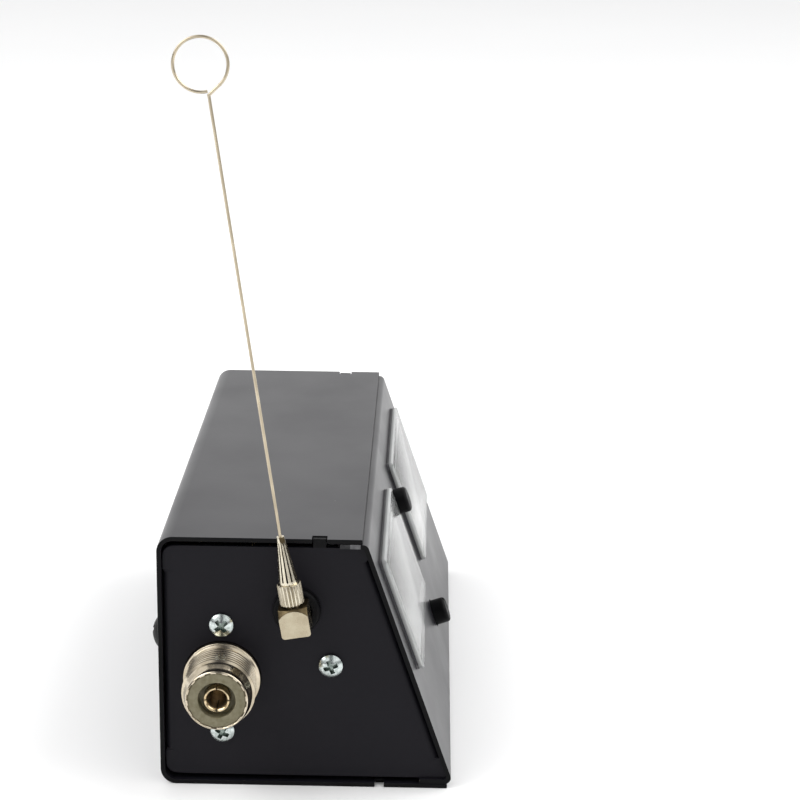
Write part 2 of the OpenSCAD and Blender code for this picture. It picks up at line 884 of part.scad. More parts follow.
// Block with two rounded lower corners, its front face cut to an arch by a cone
module whip_elbow() {
    half = elbow_w / 2;
    corner_r = 0.7;
    arch_r = elbow_w * 0.62;
    arch_drop = arch_r - half + 0.25;
    cone_h = 2 * half + 1;
    color("#cfc7ae")
        on_whip() {
            intersection() {
                translate([-half, 0, 0])
                    rotate([90, 0, 90])
                        linear_extrude(elbow_w)
                            difference() {
                                translate([0, half])
                                    round_rect(elbow_w, 2 * elbow_w, corner_r);
                                translate([-elbow_w, half])
                                    square(2 * elbow_w);
                            }
                translate([-half, 0, -arch_drop])
                    rotate([0, 90, 0])
                        cylinder(r1 = arch_r, r2 = arch_r + cone_h, h = cone_h);
            }
            rotate([0, 90, 0])
                cylinder(d = pin_d, h = elbow_w / 2 + elbow_gap + pin_l);
            cylinder(d = stub_d, h = elbow_w / 2 + stub_h);
        }
}

module whip_knurled_nut() {
    groove = PI * knurl_d / knurl_count * 0.5;
    color("#d3ccb6")
        on_whip()
            translate([0, 0, nut_foot])
                difference() {
                    cylinder(d = knurl_d, h = knurl_h);
                    translate([0, 0, -over])
                        cylinder(d = stub_d + 2 * fit_gap, h = knurl_h - nut_roof + over);
                    cylinder(d = wire_d + 2 * fit_gap, h = 2 * knurl_h);
                    for (i = [0 : knurl_count - 1])
                        rotate(i * 360 / knurl_count)
                            translate([knurl_d / 2, 0, -over])
                                rotate(45)
                                    translate([-groove / 2, -groove / 2, 0])
                                        cube([groove, groove, knurl_h + 2 * over]);
                }
}

module whip_collet() {
    slot_half_w = collet_d * tan(180 * collet_open / collet_slots);
    color("#d3ccb6")
        on_whip()
            translate([0, 0, nut_top])
                difference() {
                    cylinder(d1 = collet_d, d2 = collet_tip_d, h = collet_h);
                    translate([0, 0, -over])
                        cylinder(d = wire_d + 2 * fit_gap, h = collet_h + 2 * over);
                    // each slot narrows with the cone
                    for (i = [0 : collet_slots - 1])
                        rotate(i * 360 / collet_slots)
                            translate([0, 0, collet_foot])
                                linear_extrude(collet_h - collet_foot - collet_sleeve)
                                    polygon([[0, 0], [collet_d, -slot_half_w], [collet_d, slot_half_w]]);
                }
}

module whip_wire() {
    color("#cdbf96")
        on_whip() {
            translate([0, 0, wire_foot])
                cylinder(d = wire_d, h = collet_top - wire_foot);
            translate([0, 0, collet_top]) {
                sphere(d = wire_d + wire_bend_extra);
                rotate([wire_bend, 0, 0]) {
                    cylinder(d = wire_d, h = ring_rise - kink_drop - collet_top);
                    translate([0, 0, ring_rise - kink_drop - collet_top]) {
                        sphere(d = wire_d + wire_bend_extra);
                        rotate([tangent_a - 90, 0, 0]) {
                            cylinder(d = wire_d, h = tangent_l);
                            translate([0, 0, tangent_l])
                                sphere(d = wire_d + wire_bend_extra);
                        }
                    }
                    translate([0, ring_off, ring_rise - collet_top])
                        rotate([90, 0, 90])
                            rotate(ring_start_a)
                                rotate_extrude(angle = 360 - ring_open_a, $fn = 96)
                                    translate([ring_r, 0])
                                        circle(d = wire_d);
                }
            }
        }
}

// Controls: a small board on two studs behind the front panel carries a push switch and a variable resistor
control_board_w = 13;
control_board_end = 5.5;
control_board_up = button_down - control_board_end;
control_board_down = knob_down + control_board_end;
board_front_z = -sheet_t - board_stand;
spacer_d = 5;
switch_w = 8;
switch_h = 4.4;
plunger_d = 3;
plunger_gap = 0.05;
pot_d = 12;
pot_h = 5;
shaft_d = 4;
shaft_gap = 0.05;
index_w = 0.8;
index_h = 0.5;

module control_board() {
    mid = (control_board_up + control_board_down) / 2;
    color("#3f5b36")
        on_front(0, mid)
            translate([0, 0, board_front_z - board_t])
                difference() {
                    translate([-control_board_w / 2, (mid - control_board_down), 0])
                        cube([control_board_w, control_board_down - control_board_up, board_t]);
                    for (down = stud_down)
                        translate([0, mid - down, -over])
                            cylinder(d = stud_d + 2 * panel_hole_gap, h = board_t + 2 * over);
                }
}

module control_board_spacers() {
    color("#c9c3b0")
        for (down = stud_down)
            on_front(0, down)
                translate([0, 0, board_front_z])
                    tube(spacer_d / 2, stud_d / 2 + fit_gap, board_stand);
}

module control_board_nuts() {
    color("#b5b9b8")
        for (down = stud_down)
            on_front(0, down)
                translate([0, 0, board_front_z - board_t - nut_h])
                    difference() {
                        cylinder(d = nut_af / cos(30), h = nut_h, $fn = 6);
                        translate([0, 0, -over])
                            cylinder(d = stud_d + 2 * fit_gap, h = nut_h + 2 * over);
                    }
}

// Round cap with a rounded end edge, standing from a foot height to its top
module control_cap(foot, top) {
    r = control_d / 2;
    e = control_edge_r;
    rotate_extrude()
        union() {
            translate([0, foot])
                square([r, top - e - foot]);
            translate([0, foot])
                square([r - e, top - foot]);
            translate([r - e, top - e])
                circle(e);
        }
}

module selector_switch() {
    color("#4a4a4e")
        on_front(0, button_down)
            difference() {
                translate([-switch_w / 2, -switch_w / 2, board_front_z])
                    cube([switch_w, switch_w, switch_h]);
                translate([0, 0, board_front_z + 0.8])
                    cylinder(r = plunger_d / 2 + plunger_gap, h = switch_h);
            }
}

cap_foot = board_front_z + switch_h + button_travel + 0.3;
plunger_foot = board_front_z + 0.8 + button_travel + 0.2;

module selector_button() {
    color("#121214")
        on_front(0, button_down) {
            control_cap(cap_foot, control_out);
            translate([0, 0, plunger_foot])
                cylinder(d = plunger_d, h = cap_foot - plunger_foot + 0.5);
        }
}

module calibration_pot() {
    color("#55565a")
        on_front(0, knob_down)
            translate([0, 0, board_front_z])
                difference() {
                    cylinder(d = pot_d, h = pot_h);
                    translate([0, 0, 1])
                        cylinder(r = shaft_d / 2 + shaft_gap, h = pot_h);
                }
}

module calibration_knob() {
    foot = board_front_z + pot_h + 0.3;
    color("#121214")
        on_front(0, knob_down)
            difference() {
                union() {
                    control_cap(foot, control_out);
                    translate([0, 0, board_front_z + 1.2])
                        cylinder(d = shaft_d, h = foot - board_front_z);
                }
                translate([-index_w / 2, 0, control_out - index_h])
                    cube([index_w, control_d, index_h + over]);
            }
}

// Meters: a black moulded body whose neck comes through the front panel, a clear window on the neck,
// a white dial, and a moving-coil movement whose pivot lies below the window
seat_z = -sheet_t - fit_gap;
rear_z = seat_z - body_depth;
floor_z = rear_z + body_wall;
skin_t = 0.8;
// The meters fill the width between the end panels' front flanges and the lane of the controls
outer_w = end_x - front_flange_w - meter_flange_gap - meter_lane_w / 2;
meter_x = (meter_lane_w + outer_w) / 2;
window_w = outer_w - 2 * body_step;
outer_up = window_h / 2 + body_step;
outer_down = window_h / 2 + body_below;
inner_w = outer_w - 2 * body_wall;
inner_up = outer_up - body_wall;
inner_down = outer_down - body_wall;
neck_wall = 1.2;
window_gap = 0.15;
dial_gap = 0.3;
dial_z = -dial_depth;
post_d = 3;
post_in = 3;
dial_screw_d = 1.6;
dial_screw_head_d = 2.6;
dial_screw_head_h = 0.7;
dial_screw_crown = 0.5;
dial_screw_l = 3;
dial_screw_y = -5;

// Rectangle between two heights, with round corners
module tall_rect(w, up, down, r) {
    translate([0, (up - down) / 2])
        round_rect(w, up + down, r);
}

module on_meter(side) {
    on_front(side * meter_x, meter_down)
        children();
}

module at_dial_posts() {
    for (s = [-1, 1])
        translate([s * (inner_w / 2 - post_in), dial_screw_y, 0])
            children();
}

module meter_housing(side) {
    color("#161618")
        on_meter(side)
            difference() {
                union() {
                    difference() {
                        union() {
                            translate([0, 0, rear_z])
                                linear_extrude(body_depth)
                                    tall_rect(outer_w, outer_up, outer_down, window_r);
                            translate([0, 0, seat_z - over / 2])
                                linear_extrude(neck_out - seat_z + over / 2)
                                    round_rect(window_w, window_h, window_r);
                        }
                        translate([0, 0, floor_z])
                            linear_extrude(seat_z - skin_t - floor_z)
                                tall_rect(inner_w, inner_up, inner_down, window_r / 2);
                        translate([0, 0, seat_z - 2 * skin_t])
                            linear_extrude(neck_out - seat_z + 2 * skin_t + over)
                                round_rect(window_w - 2 * neck_wall, window_h - 2 * neck_wall, window_r / 2);
                    }
                    at_dial_posts()
                        translate([0, 0, floor_z - body_wall / 2])
                            cylinder(d = post_d, h = dial_z - dial_t - floor_z + body_wall / 2);
                }
                at_dial_posts()
                    translate([0, 0, dial_z - dial_t - 4])
                        cylinder(d = dial_screw_d + fit_gap, h = 5);
                for (s = [-1, 1])
                    translate([s * tag_x, tag_y, rear_z - over])
                        cylinder(d = tag_d + 2 * fit_gap, h = body_wall + 2 * over);
            }
}

// Section of the window across one of its sides, the outer edges bevelled
module bevel_profile(width) {
    edge = 0.4;
    polygon([
        [-width / 2, 0],
        [width / 2, 0],
        [width / 2, window_t - edge],
        [width / 2 - edge, window_t],
        [edge - width / 2, window_t],
        [-width / 2, window_t - edge]
    ]);
}

module meter_window(side) {
    color([0.9, 0.93, 0.95, 0.4])
        on_meter(side) {
            translate([0, 0, neck_out])
                intersection() {
                    linear_extrude(window_t)
                        round_rect(window_w, window_h, window_r);
                    rotate([90, 0, 90])
                        linear_extrude(2 * window_w, center = true)
                            bevel_profile(window_h);
                    rotate([90, 0, 0])
                        linear_extrude(2 * window_h, center = true)
                            bevel_profile(window_w);
                }
            translate([0, 0, neck_out - skin_t])
                linear_extrude(skin_t + over / 10)
                    difference() {
                        round_rect(window_w - 2 * neck_wall - 2 * window_gap,
                            window_h - 2 * neck_wall - 2 * window_gap, window_r / 2);
                        round_rect(window_w - 4 * neck_wall - 2 * window_gap,
                            window_h - 4 * neck_wall - 2 * window_gap, window_r / 2);
                    }
        }
}

module meter_dial(side) {
    dial_w = inner_w - 2 * dial_gap;
    // a slot at the lower edge passes the movement's bridge
    slot_w = yoke_d + 2 * dial_gap;
    slot_top = bridge_w / 2 + dial_gap - pivot_below;
    color("#e6e6e2")
        on_meter(side)
            translate([0, 0, dial_z - dial_t])
                linear_extrude(dial_t)
                    difference() {
                        tall_rect(dial_w, inner_up - dial_gap, inner_down - dial_gap, window_r / 2);
                        translate([-slot_w / 2, -outer_down])
                            square([slot_w, outer_down + slot_top]);
                        at_dial_posts()
                            circle(d = dial_screw_d + 2 * fit_gap);
                    }
}

module dial_screws() {
    color("#b9bab8")
        for (side = [-1, 1])
            on_meter(side)
                at_dial_posts()
                    translate([0, 0, dial_z])
                        screw(dial_screw_d, dial_screw_head_d, dial_screw_head_h,
                            dial_screw_crown, dial_screw_l);
}

// Movement heights in the meter's frame
yoke_r = yoke_d / 2;
yoke_plate_t = 1;
yoke_top_z = dial_z - dial_t - 1.3;
core_r = core_d / 2;
core_foot_z = floor_z + yoke_plate_t + 1.9;
core_top_z = yoke_top_z - 1.2;
coil_t = 0.6;
coil_w = 1.8;
coil_in_r = core_r + coil_gap;
coil_out_r = coil_in_r + coil_t;
coil_foot_z = core_foot_z - coil_gap - coil_t;
coil_top_z = core_top_z + coil_gap + coil_t;
spindle_d = 0.9;
jewel_d = 1.8;
jewel_gap = 0.06;
pointer_z = dial_z + 0.35;
pointer_t = 0.3;
bridge_z = pointer_z + pointer_t + 0.3;
bridge_t = 0.6;
bridge_w = 3;
bridge_post_d = 1;
stay_w = 1.2;
stay_h = 2;

module on_pivot(side) {
    on_meter(side)
        translate([0, -pivot_below, 0])
            children();
}

module meter_yoke(side) {
    mid_z = (core_foot_z + core_top_z) / 2;
    color("#8d9296")
        on_pivot(side)
            difference() {
                union() {
                    translate([0, 0, floor_z])
                        cylinder(r = yoke_r, h = yoke_plate_t);
                    translate([0, 0, floor_z])
                        tube(yoke_r, yoke_r - yoke_wall, yoke_top_z - floor_z);
                    for (s = [-1, 1])
                        translate([s * (core_r + yoke_r - yoke_wall / 2) / 2, 0, mid_z])
                            cube([yoke_r - yoke_wall / 2 - core_r, stay_w, stay_h], center = true);
                }
                translate([0, 0, mid_z - stay_h])
                    cylinder(r = core_r + socket_gap, h = 2 * stay_h);
                translate([0, 0, floor_z - over])
                    cylinder(d = jewel_d + 2 * fit_gap, h = yoke_plate_t + 2 * over);
            }
}

module meter_core(side) {
    color("#4c4e52")
        on_pivot(side)
            translate([0, 0, core_foot_z])
                cylinder(r = core_r, h = core_top_z - core_foot_z);
}

module meter_bridge(side) {
    post_x = yoke_r - yoke_wall / 2;
    color("#a9864a")
        on_pivot(side)
            difference() {
                union() {
                    translate([-post_x - bridge_post_d, -bridge_w / 2, bridge_z])
                        cube([2 * post_x + 2 * bridge_post_d, bridge_w, bridge_t]);
                    for (s = [-1, 1])
                        translate([s * post_x, 0, yoke_top_z])
                            cylinder(d = bridge_post_d, h = bridge_z - yoke_top_z + bridge_t / 2);
                }
                translate([0, 0, bridge_z - over])
                    cylinder(d = jewel_d + 2 * fit_gap, h = bridge_t + 2 * over);
            }
}

spindle_foot_z = floor_z + yoke_plate_t + 0.3;
spindle_top_z = bridge_z - 0.05;

module meter_jewels(side) {
    color("#b08d57")
        on_pivot(side) {
            translate([0, 0, spindle_top_z + jewel_gap])
                cylinder(d = jewel_d, h = bridge_t + 0.1);
            translate([0, 0, floor_z])
                cylinder(d = jewel_d, h = spindle_foot_z - jewel_gap - floor_z);
        }
}

// The moving parts are drawn at the zero of the scale, the pointer leaning to the left
module at_zero(side) {
    on_pivot(side)
        rotate(half_sweep)
            children();
}

module meter_coil(side) {
    coil_l = coil_top_z - coil_foot_z;
    color("#b4652e")
        at_zero(side) {
            difference() {
                translate([-coil_w / 2, -coil_out_r, coil_foot_z])
                    cube([coil_w, 2 * coil_out_r, coil_l]);
                translate([-coil_w, -coil_in_r, coil_foot_z + coil_t])
                    cube([2 * coil_w, 2 * coil_in_r, coil_l - 2 * coil_t]);
            }
            translate([0, 0, coil_top_z - coil_t / 2])
                cylinder(d = spindle_d, h = spindle_top_z - coil_top_z + coil_t / 2);
            translate([0, 0, spindle_foot_z])
                cylinder(d = spindle_d, h = coil_foot_z - spindle_foot_z + coil_t / 2);
        }
}

module meter_pointer(side) {
    hub_d = 2.2;
    tail_l = 4;
    foot_w = 0.8;
    tip_w = 0.35;
    color("#1a1a1a")
        at_zero(side)
            translate([0, 0, pointer_z])
                linear_extrude(pointer_t)
                    difference() {
                        union() {
                            circle(d = hub_d);
                            polygon([
                                [-foot_w / 2, 0],
                                [foot_w / 2, 0],
                                [tip_w / 2, pointer_len],
                                [-tip_w / 2, pointer_len]
                            ]);
                            translate([-foot_w / 2, -tail_l])
                                square([foot_w, tail_l]);
                        }
                        circle(d = spindle_d + 2 * socket_gap);
                    }
}

// Solder tags of the meters, two through each rear wall
tag_d = 2;
tag_x = 12;
tag_y = 4;
tag_out = 4;

module meter_tags() {
    color("#c2a766")
        for (side = [-1, 1], s = [-1, 1])
            on_meter(side)
                translate([s * tag_x, tag_y, 0]) {
                    translate([0, 0, rear_z - tag_out])
                        cylinder(d = tag_d, h = tag_out + body_wall + 0.5);
                    translate([0, 0, floor_z])
                        cylinder(d = 2 * tag_d, h = 0.6);
                }
}

// Hook-up wires: one from the antenna jack, two from each meter and three from the control board,
// all soldered to the coupler board
lead_wire_d = 1.2;
lead_bend_extra = 0.1;
wire_land_z = board_top_z + 0.05;
antenna_lead_in = 16.2;
tag_lead_l = 3;
control_lead_down = (button_down + knob_down) / 2;
control_lead_step = 4;
control_lead_in = 2;
control_lead_rise = 3.5;

module rod(from, to) {
    run = to - from;
    translate(from)
        rotate([0, acos(run[2] / norm(run)), atan2(run[1], run[0])])
            cylinder(d = lead_wire_d, h = norm(run));
}

module lead(from, bend, to) {
    rod(from, bend);
    translate(bend)
        sphere(d = lead_wire_d + lead_bend_extra);
    rod(bend, to);
}

// Point of the front panel's frame in the frame of the case
function front_point(x, down, out) = [
    x,
    front_top_y - down * sin(slope_a) - out * cos(slope_a),
    case_h - down * cos(slope_a) + out * sin(slope_a)
];

module hookup_wires() {
    antenna_lead_x = antenna_lead_in - end_inner_x;
    jack_rear_x = -end_x + jack_contact_rear + 0.05;
    tag_end = rear_z - tag_out - 0.05;
    control_end = front_point(0, control_lead_down, board_front_z - board_t - 0.3);
    color("#a03028") {
        lead([jack_rear_x, jack_y, jack_z], [antenna_lead_x, jack_y, jack_z],
            [antenna_lead_x, jack_y, wire_land_z]);
        for (side = [-1, 1], s = [-1, 1]) {
            start = front_point(side * meter_x + s * tag_x, meter_down - tag_y, tag_end);
            turn = front_point(side * meter_x + s * tag_x, meter_down - tag_y, tag_end - tag_lead_l);
            lead(start, turn, [turn[0], turn[1], wire_land_z]);
        }
        for (i = [-1, 0, 1]) {
            start = [i * control_lead_step, control_end[1], control_end[2]];
            over_board = [start[0], coupler_front_y + control_lead_in, board_top_z + control_lead_rise];
            lead(start, over_board, [over_board[0], over_board[1], wire_land_z]);
        }
    }
}

wrap_cover();
front_panel();
left_end_panel();
right_end_panel();
cover_screws();
socket_shell(-1);  // left_socket_shell
socket_insulator(-1);  // left_socket_insulator
socket_contact(-1);  // left_socket_contact
socket_shell(1);  // right_socket_shell
socket_insulator(1);  // right_socket_insulator
socket_contact(1);  // right_socket_contact
panel_screws();
panel_nuts();
board_bracket(-1);  // left_board_bracket
board_bracket(1);  // right_board_bracket
board_screws();
coupler_board();
coupler_line();
pickup_wires();
load_resistors();
detector_diodes();
bypass_capacitors();
jack_bushing();
jack_collar();
jack_contact();
whip_elbow();
whip_knurled_nut();
whip_collet();
whip_wire();
control_board();
control_board_spacers();
control_board_nuts();
selector_switch();
selector_button();
calibration_pot();
calibration_knob();
meter_housing(-1);  // left_meter_housing
meter_window(-1);  // left_meter_window
meter_dial(-1);  // left_meter_dial
meter_yoke(-1);  // left_meter_yoke
meter_core(-1);  // left_meter_core
meter_bridge(-1);  // left_meter_bridge
meter_jewels(-1);  // left_meter_jewels
meter_coil(-1);  // left_meter_coil
meter_pointer(-1);  // left_meter_pointer
meter_housing(1);  // right_meter_housing
meter_window(1);  // right_meter_window
meter_dial(1);  // right_meter_dial
meter_yoke(1);  // right_meter_yoke
meter_core(1);  // right_meter_core
meter_bridge(1);  // right_meter_bridge
meter_jewels(1);  // right_meter_jewels
meter_coil(1);  // right_meter_coil
meter_pointer(1);  // right_meter_pointer
dial_screws();
meter_tags();
hookup_wires();
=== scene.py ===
import json
import math

import bmesh
import bpy
from mathutils import Matrix, Vector


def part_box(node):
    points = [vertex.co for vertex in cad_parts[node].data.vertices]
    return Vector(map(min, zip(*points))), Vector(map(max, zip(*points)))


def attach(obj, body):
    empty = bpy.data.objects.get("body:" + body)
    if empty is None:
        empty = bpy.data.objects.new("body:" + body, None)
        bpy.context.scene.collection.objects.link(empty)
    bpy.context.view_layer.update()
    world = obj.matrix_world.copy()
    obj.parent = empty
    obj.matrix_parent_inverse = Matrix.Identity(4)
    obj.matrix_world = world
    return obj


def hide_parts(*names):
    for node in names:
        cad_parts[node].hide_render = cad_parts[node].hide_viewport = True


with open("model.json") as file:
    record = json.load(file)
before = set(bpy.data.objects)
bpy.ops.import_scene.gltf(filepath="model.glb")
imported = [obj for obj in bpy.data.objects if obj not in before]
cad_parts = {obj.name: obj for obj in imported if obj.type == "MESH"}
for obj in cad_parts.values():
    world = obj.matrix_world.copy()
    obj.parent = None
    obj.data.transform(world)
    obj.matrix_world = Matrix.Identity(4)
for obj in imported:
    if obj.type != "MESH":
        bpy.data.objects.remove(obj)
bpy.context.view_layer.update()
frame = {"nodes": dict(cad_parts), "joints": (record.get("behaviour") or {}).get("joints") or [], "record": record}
nodes = frame["nodes"]

# Wrap cover
# One steel sheet bent round the top, the back and the base, sprayed semi-gloss black.
# The paint rounds its cut edges a little and carries some dust. Its sheared ends are
# near-black, partly as painted shade of the seams beside them, and the face of its front edge is
# near-black as painted shade of the seam to the front panel.
MM = 0.001
CREASE = math.radians(35)
SQUARELY = 0.7


def piece(form, name, material, body="case", stands_for=()):
    """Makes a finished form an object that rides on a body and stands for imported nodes."""
    mesh = bpy.data.meshes.new(name)
    form.to_mesh(mesh)
    form.free()
    mesh.shade_smooth()
    mesh.set_sharp_from_angle(angle=CREASE)
    mesh.materials.append(material)
    made = bpy.data.objects.new(name, mesh)
    bpy.context.scene.collection.objects.link(made)
    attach(made, body)
    if stands_for:
        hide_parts(*stands_for)
    return made


def merged(node):
    """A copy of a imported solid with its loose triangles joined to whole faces."""
    form = bmesh.new()
    form.from_mesh(nodes[node].data)
    bmesh.ops.remove_doubles(form, verts=form.verts, dist=0.002 * MM)
    bmesh.ops.dissolve_limit(form, angle_limit=math.radians(0.3), use_dissolve_boundaries=False,
                             verts=form.verts, edges=form.edges)
    return form


def rounded(form, width, segments=2, chosen=lambda edge: True):
    """Rounds the sharp edges of a form that a test picks, to a width in millimetres."""
    sharp = [edge for edge in form.edges
             if edge.is_manifold and edge.calc_face_angle() > CREASE and chosen(edge)]
    bmesh.ops.bevel(form, geom=sharp, offset=width * MM, offset_type="OFFSET", segments=segments,
                    profile=0.5, affect="EDGES", clamp_overlap=True, material=-1)
    return form


def softened(node, width):
    """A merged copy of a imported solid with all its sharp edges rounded."""
    return rounded(merged(node), width)


def even_shading(made):
    """Keeps wide faces flat beside their rounded edges."""
    modifier = made.modifiers.new("even shading", "WEIGHTED_NORMAL")
    modifier.keep_sharp = True


def node_group(name, inputs, outputs):
    """An empty shader group with named sockets, and its two end nodes."""
    tree = bpy.data.node_groups.new(name, "ShaderNodeTree")
    for title, kind in inputs:
        tree.interface.new_socket(title, in_out="INPUT", socket_type="NodeSocket" + kind)
    for title, kind in outputs:
        tree.interface.new_socket(title, in_out="OUTPUT", socket_type="NodeSocket" + kind)
    return tree, tree.nodes.new("NodeGroupInput"), tree.nodes.new("NodeGroupOutput")


def surface_grain():
    """Shared effect: patches of two tones, a roughness that follows them, and a fine grain height."""
    tree, start, end = node_group(
        "surface grain",
        [("Tone", "Color"), ("Other Tone", "Color"), ("Patches", "Float"), ("Grains", "Float"),
         ("Stretch", "Vector"), ("Smooth", "Float"), ("Dull", "Float")],
        [("Colour", "Color"), ("Roughness", "Float"), ("Height", "Float")])
    place = tree.nodes.new("ShaderNodeTexCoord")
    patches = tree.nodes.new("ShaderNodeTexNoise")
    patches.inputs["Detail"].default_value = 5.0
    spread = tree.nodes.new("ShaderNodeMapRange")
    spread.inputs["From Min"].default_value = 0.32
    spread.inputs["From Max"].default_value = 0.68
    tone = tree.nodes.new("ShaderNodeMix")
    tone.data_type = "RGBA"
    rough = tree.nodes.new("ShaderNodeMapRange")
    stretched = tree.nodes.new("ShaderNodeVectorMath")
    stretched.operation = "MULTIPLY"
    grains = tree.nodes.new("ShaderNodeTexNoise")
    grains.inputs["Detail"].default_value = 2.0
    for source, target in (
            (place.outputs["Object"], patches.inputs["Vector"]),
            (start.outputs["Patches"], patches.inputs["Scale"]),
            (patches.outputs["Fac"], spread.inputs["Value"]),
            (spread.outputs["Result"], tone.inputs["Factor"]),
            (start.outputs["Tone"], tone.inputs["A"]),
            (start.outputs["Other Tone"], tone.inputs["B"]),
            (spread.outputs["Result"], rough.inputs["Value"]),
            (start.outputs["Smooth"], rough.inputs["To Min"]),
            (start.outputs["Dull"], rough.inputs["To Max"]),
            (place.outputs["Object"], stretched.inputs[0]),
            (start.outputs["Stretch"], stretched.inputs[1]),
            (stretched.outputs["Vector"], grains.inputs["Vector"]),
            (start.outputs["Grains"], grains.inputs["Scale"]),
            (tone.outputs["Result"], end.inputs["Colour"]),
            (rough.outputs["Result"], end.inputs["Roughness"]),
            (grains.outputs["Fac"], end.inputs["Height"])):
        tree.links.new(source, target)
    return tree


GRAIN = surface_grain()


def finish(name, tones, patch, grain, rough, depth, stretch=(1, 1, 1), **shader_values):
    """A material of two tones in patches and a fine grain, both sized in millimetres.

    rough is its range of roughness and depth the height of the grain in millimetres.
    """
    material = bpy.data.materials.new(name)
    material.use_nodes = True
    tree = material.node_tree
    shader = tree.nodes["Principled BSDF"]
    for title, value in shader_values.items():
        shader.inputs[title.replace("_", " ")].default_value = value
    grained = tree.nodes.new("ShaderNodeGroup")
    grained.name = "grain"
    grained.node_tree = GRAIN
    grained.inputs["Tone"].default_value = (*tones[0], 1)
    grained.inputs["Other Tone"].default_value = (*tones[1], 1)
    grained.inputs["Patches"].default_value = 1 / (patch * MM)
    grained.inputs["Grains"].default_value = 1 / (grain * MM)
    grained.inputs["Stretch"].default_value = stretch
    grained.inputs["Smooth"].default_value = rough[0]
    grained.inputs["Dull"].default_value = rough[1]
    bump = tree.nodes.new("ShaderNodeBump")
    bump.inputs["Strength"].default_value = 1.0
    bump.inputs["Distance"].default_value = depth * MM
    tree.links.new(grained.outputs["Colour"], shader.inputs["Base Color"])
    tree.links.new(grained.outputs["Roughness"], shader.inputs["Roughness"])
    tree.links.new(grained.outputs["Height"], bump.inputs["Height"])
    tree.links.new(bump.outputs["Normal"], shader.inputs["Normal"])
    return material


def dust_specks():
    """Shared effect: sparse pale specks of settled dust, as a mask."""
    tree, start, end = node_group("dust specks", [("Specks", "Float"), ("Size", "Float")],
                                  [("Mask", "Float")])
    place = tree.nodes.new("ShaderNodeTexCoord")
    cells = tree.nodes.new("ShaderNodeTexVoronoi")
    near = tree.nodes.new("ShaderNodeMath")
    near.operation = "LESS_THAN"
    pick = tree.nodes.new("ShaderNodeSeparateColor")
    rare = tree.nodes.new("ShaderNodeMath")
    rare.operation = "GREATER_THAN"
    rare.inputs[1].default_value = 0.9
    both = tree.nodes.new("ShaderNodeMath")
    both.operation = "MULTIPLY"
    for source, target in (
            (place.outputs["Object"], cells.inputs["Vector"]),
            (start.outputs["Specks"], cells.inputs["Scale"]),
            (cells.outputs["Distance"], near.inputs[0]),
            (start.outputs["Size"], near.inputs[1]),
            (cells.outputs["Color"], pick.inputs["Color"]),
            (pick.outputs["Red"], rare.inputs[0]),
            (near.outputs["Value"], both.inputs[0]),
            (rare.outputs["Value"], both.inputs[1]),
            (both.outputs["Value"], end.inputs["Mask"])):
        tree.links.new(source, target)
    return tree


DUST = dust_specks()


def dusted(material, spacing, size, tone):
    """Lays dust specks, spaced in millimetres, over a finish."""
    tree = material.node_tree
    shader = tree.nodes["Principled BSDF"]
    specks = tree.nodes.new("ShaderNodeGroup")
    specks.node_tree = DUST
    specks.inputs["Specks"].default_value = 1 / (spacing * MM)
    specks.inputs["Size"].default_value = size
    laid = tree.nodes.new("ShaderNodeMix")
    laid.data_type = "RGBA"
    laid.inputs["B"].default_value = (*tone, 1)
    tree.links.new(specks.outputs["Mask"], laid.inputs["Factor"])
    tree.links.new(tree.nodes["grain"].outputs["Colour"], laid.inputs["A"])
    tree.links.new(laid.outputs["Result"], shader.inputs["Base Color"])
    return material


cover_paint = dusted(
    finish("cover_paint", [(0.006, 0.0057, 0.009), (0.009, 0.0087, 0.012)], patch=22, grain=0.7,
           rough=(0.28, 0.36), depth=0.006, Specular_IOR_Level=0.41),
    spacing=3.2, size=0.035, tone=(0.22, 0.22, 0.22))
# Near-black for sheared ends, also used as painted shade in the seams, on the end plates' tabs in the cover's
# notches and in the cover screws' recesses.
cut_edge_and_shade = finish("cut_edge_and_shade", [(0.0025, 0.0025, 0.003), (0.0045, 0.0045, 0.005)], patch=6, grain=0.5,
                  rough=(0.4, 0.55), depth=0.006, Specular_IOR_Level=0.1)


def repainted(made, material, chosen):
    """Gives the faces of a piece that a test picks another finish."""
    made.data.materials.append(material)
    for polygon in made.data.polygons:
        if chosen(polygon):
            polygon.material_index = len(made.data.materials) - 1


def split_at(form, spot, axis):
    """Cuts the faces of a form along a plane, in millimetres, and keeps both sides."""
    bmesh.ops.bisect_plane(form, geom=form.verts[:] + form.edges[:] + form.faces[:], dist=1e-7,
                           plane_co=Vector(spot) * MM, plane_no=axis)
    return form


def on_cut_edge(polygon):
    """True on the sheared ends of a sheet, which face along the case."""
    return abs(polygon.normal.x) > SQUARELY


cover = piece(softened("wrap_cover", width=0.22), "cover_sheet", cover_paint,
              stands_for=["wrap_cover"])
# The sheared ends and the front edge's face are near-black; on the front edge this is painted shade of the seam to
# the front panel.
repainted(cover, cut_edge_and_shade, lambda polygon: on_cut_edge(polygon)
          or abs(polygon.normal.y) > SQUARELY and polygon.center.y < 0)
even_shading(cover)

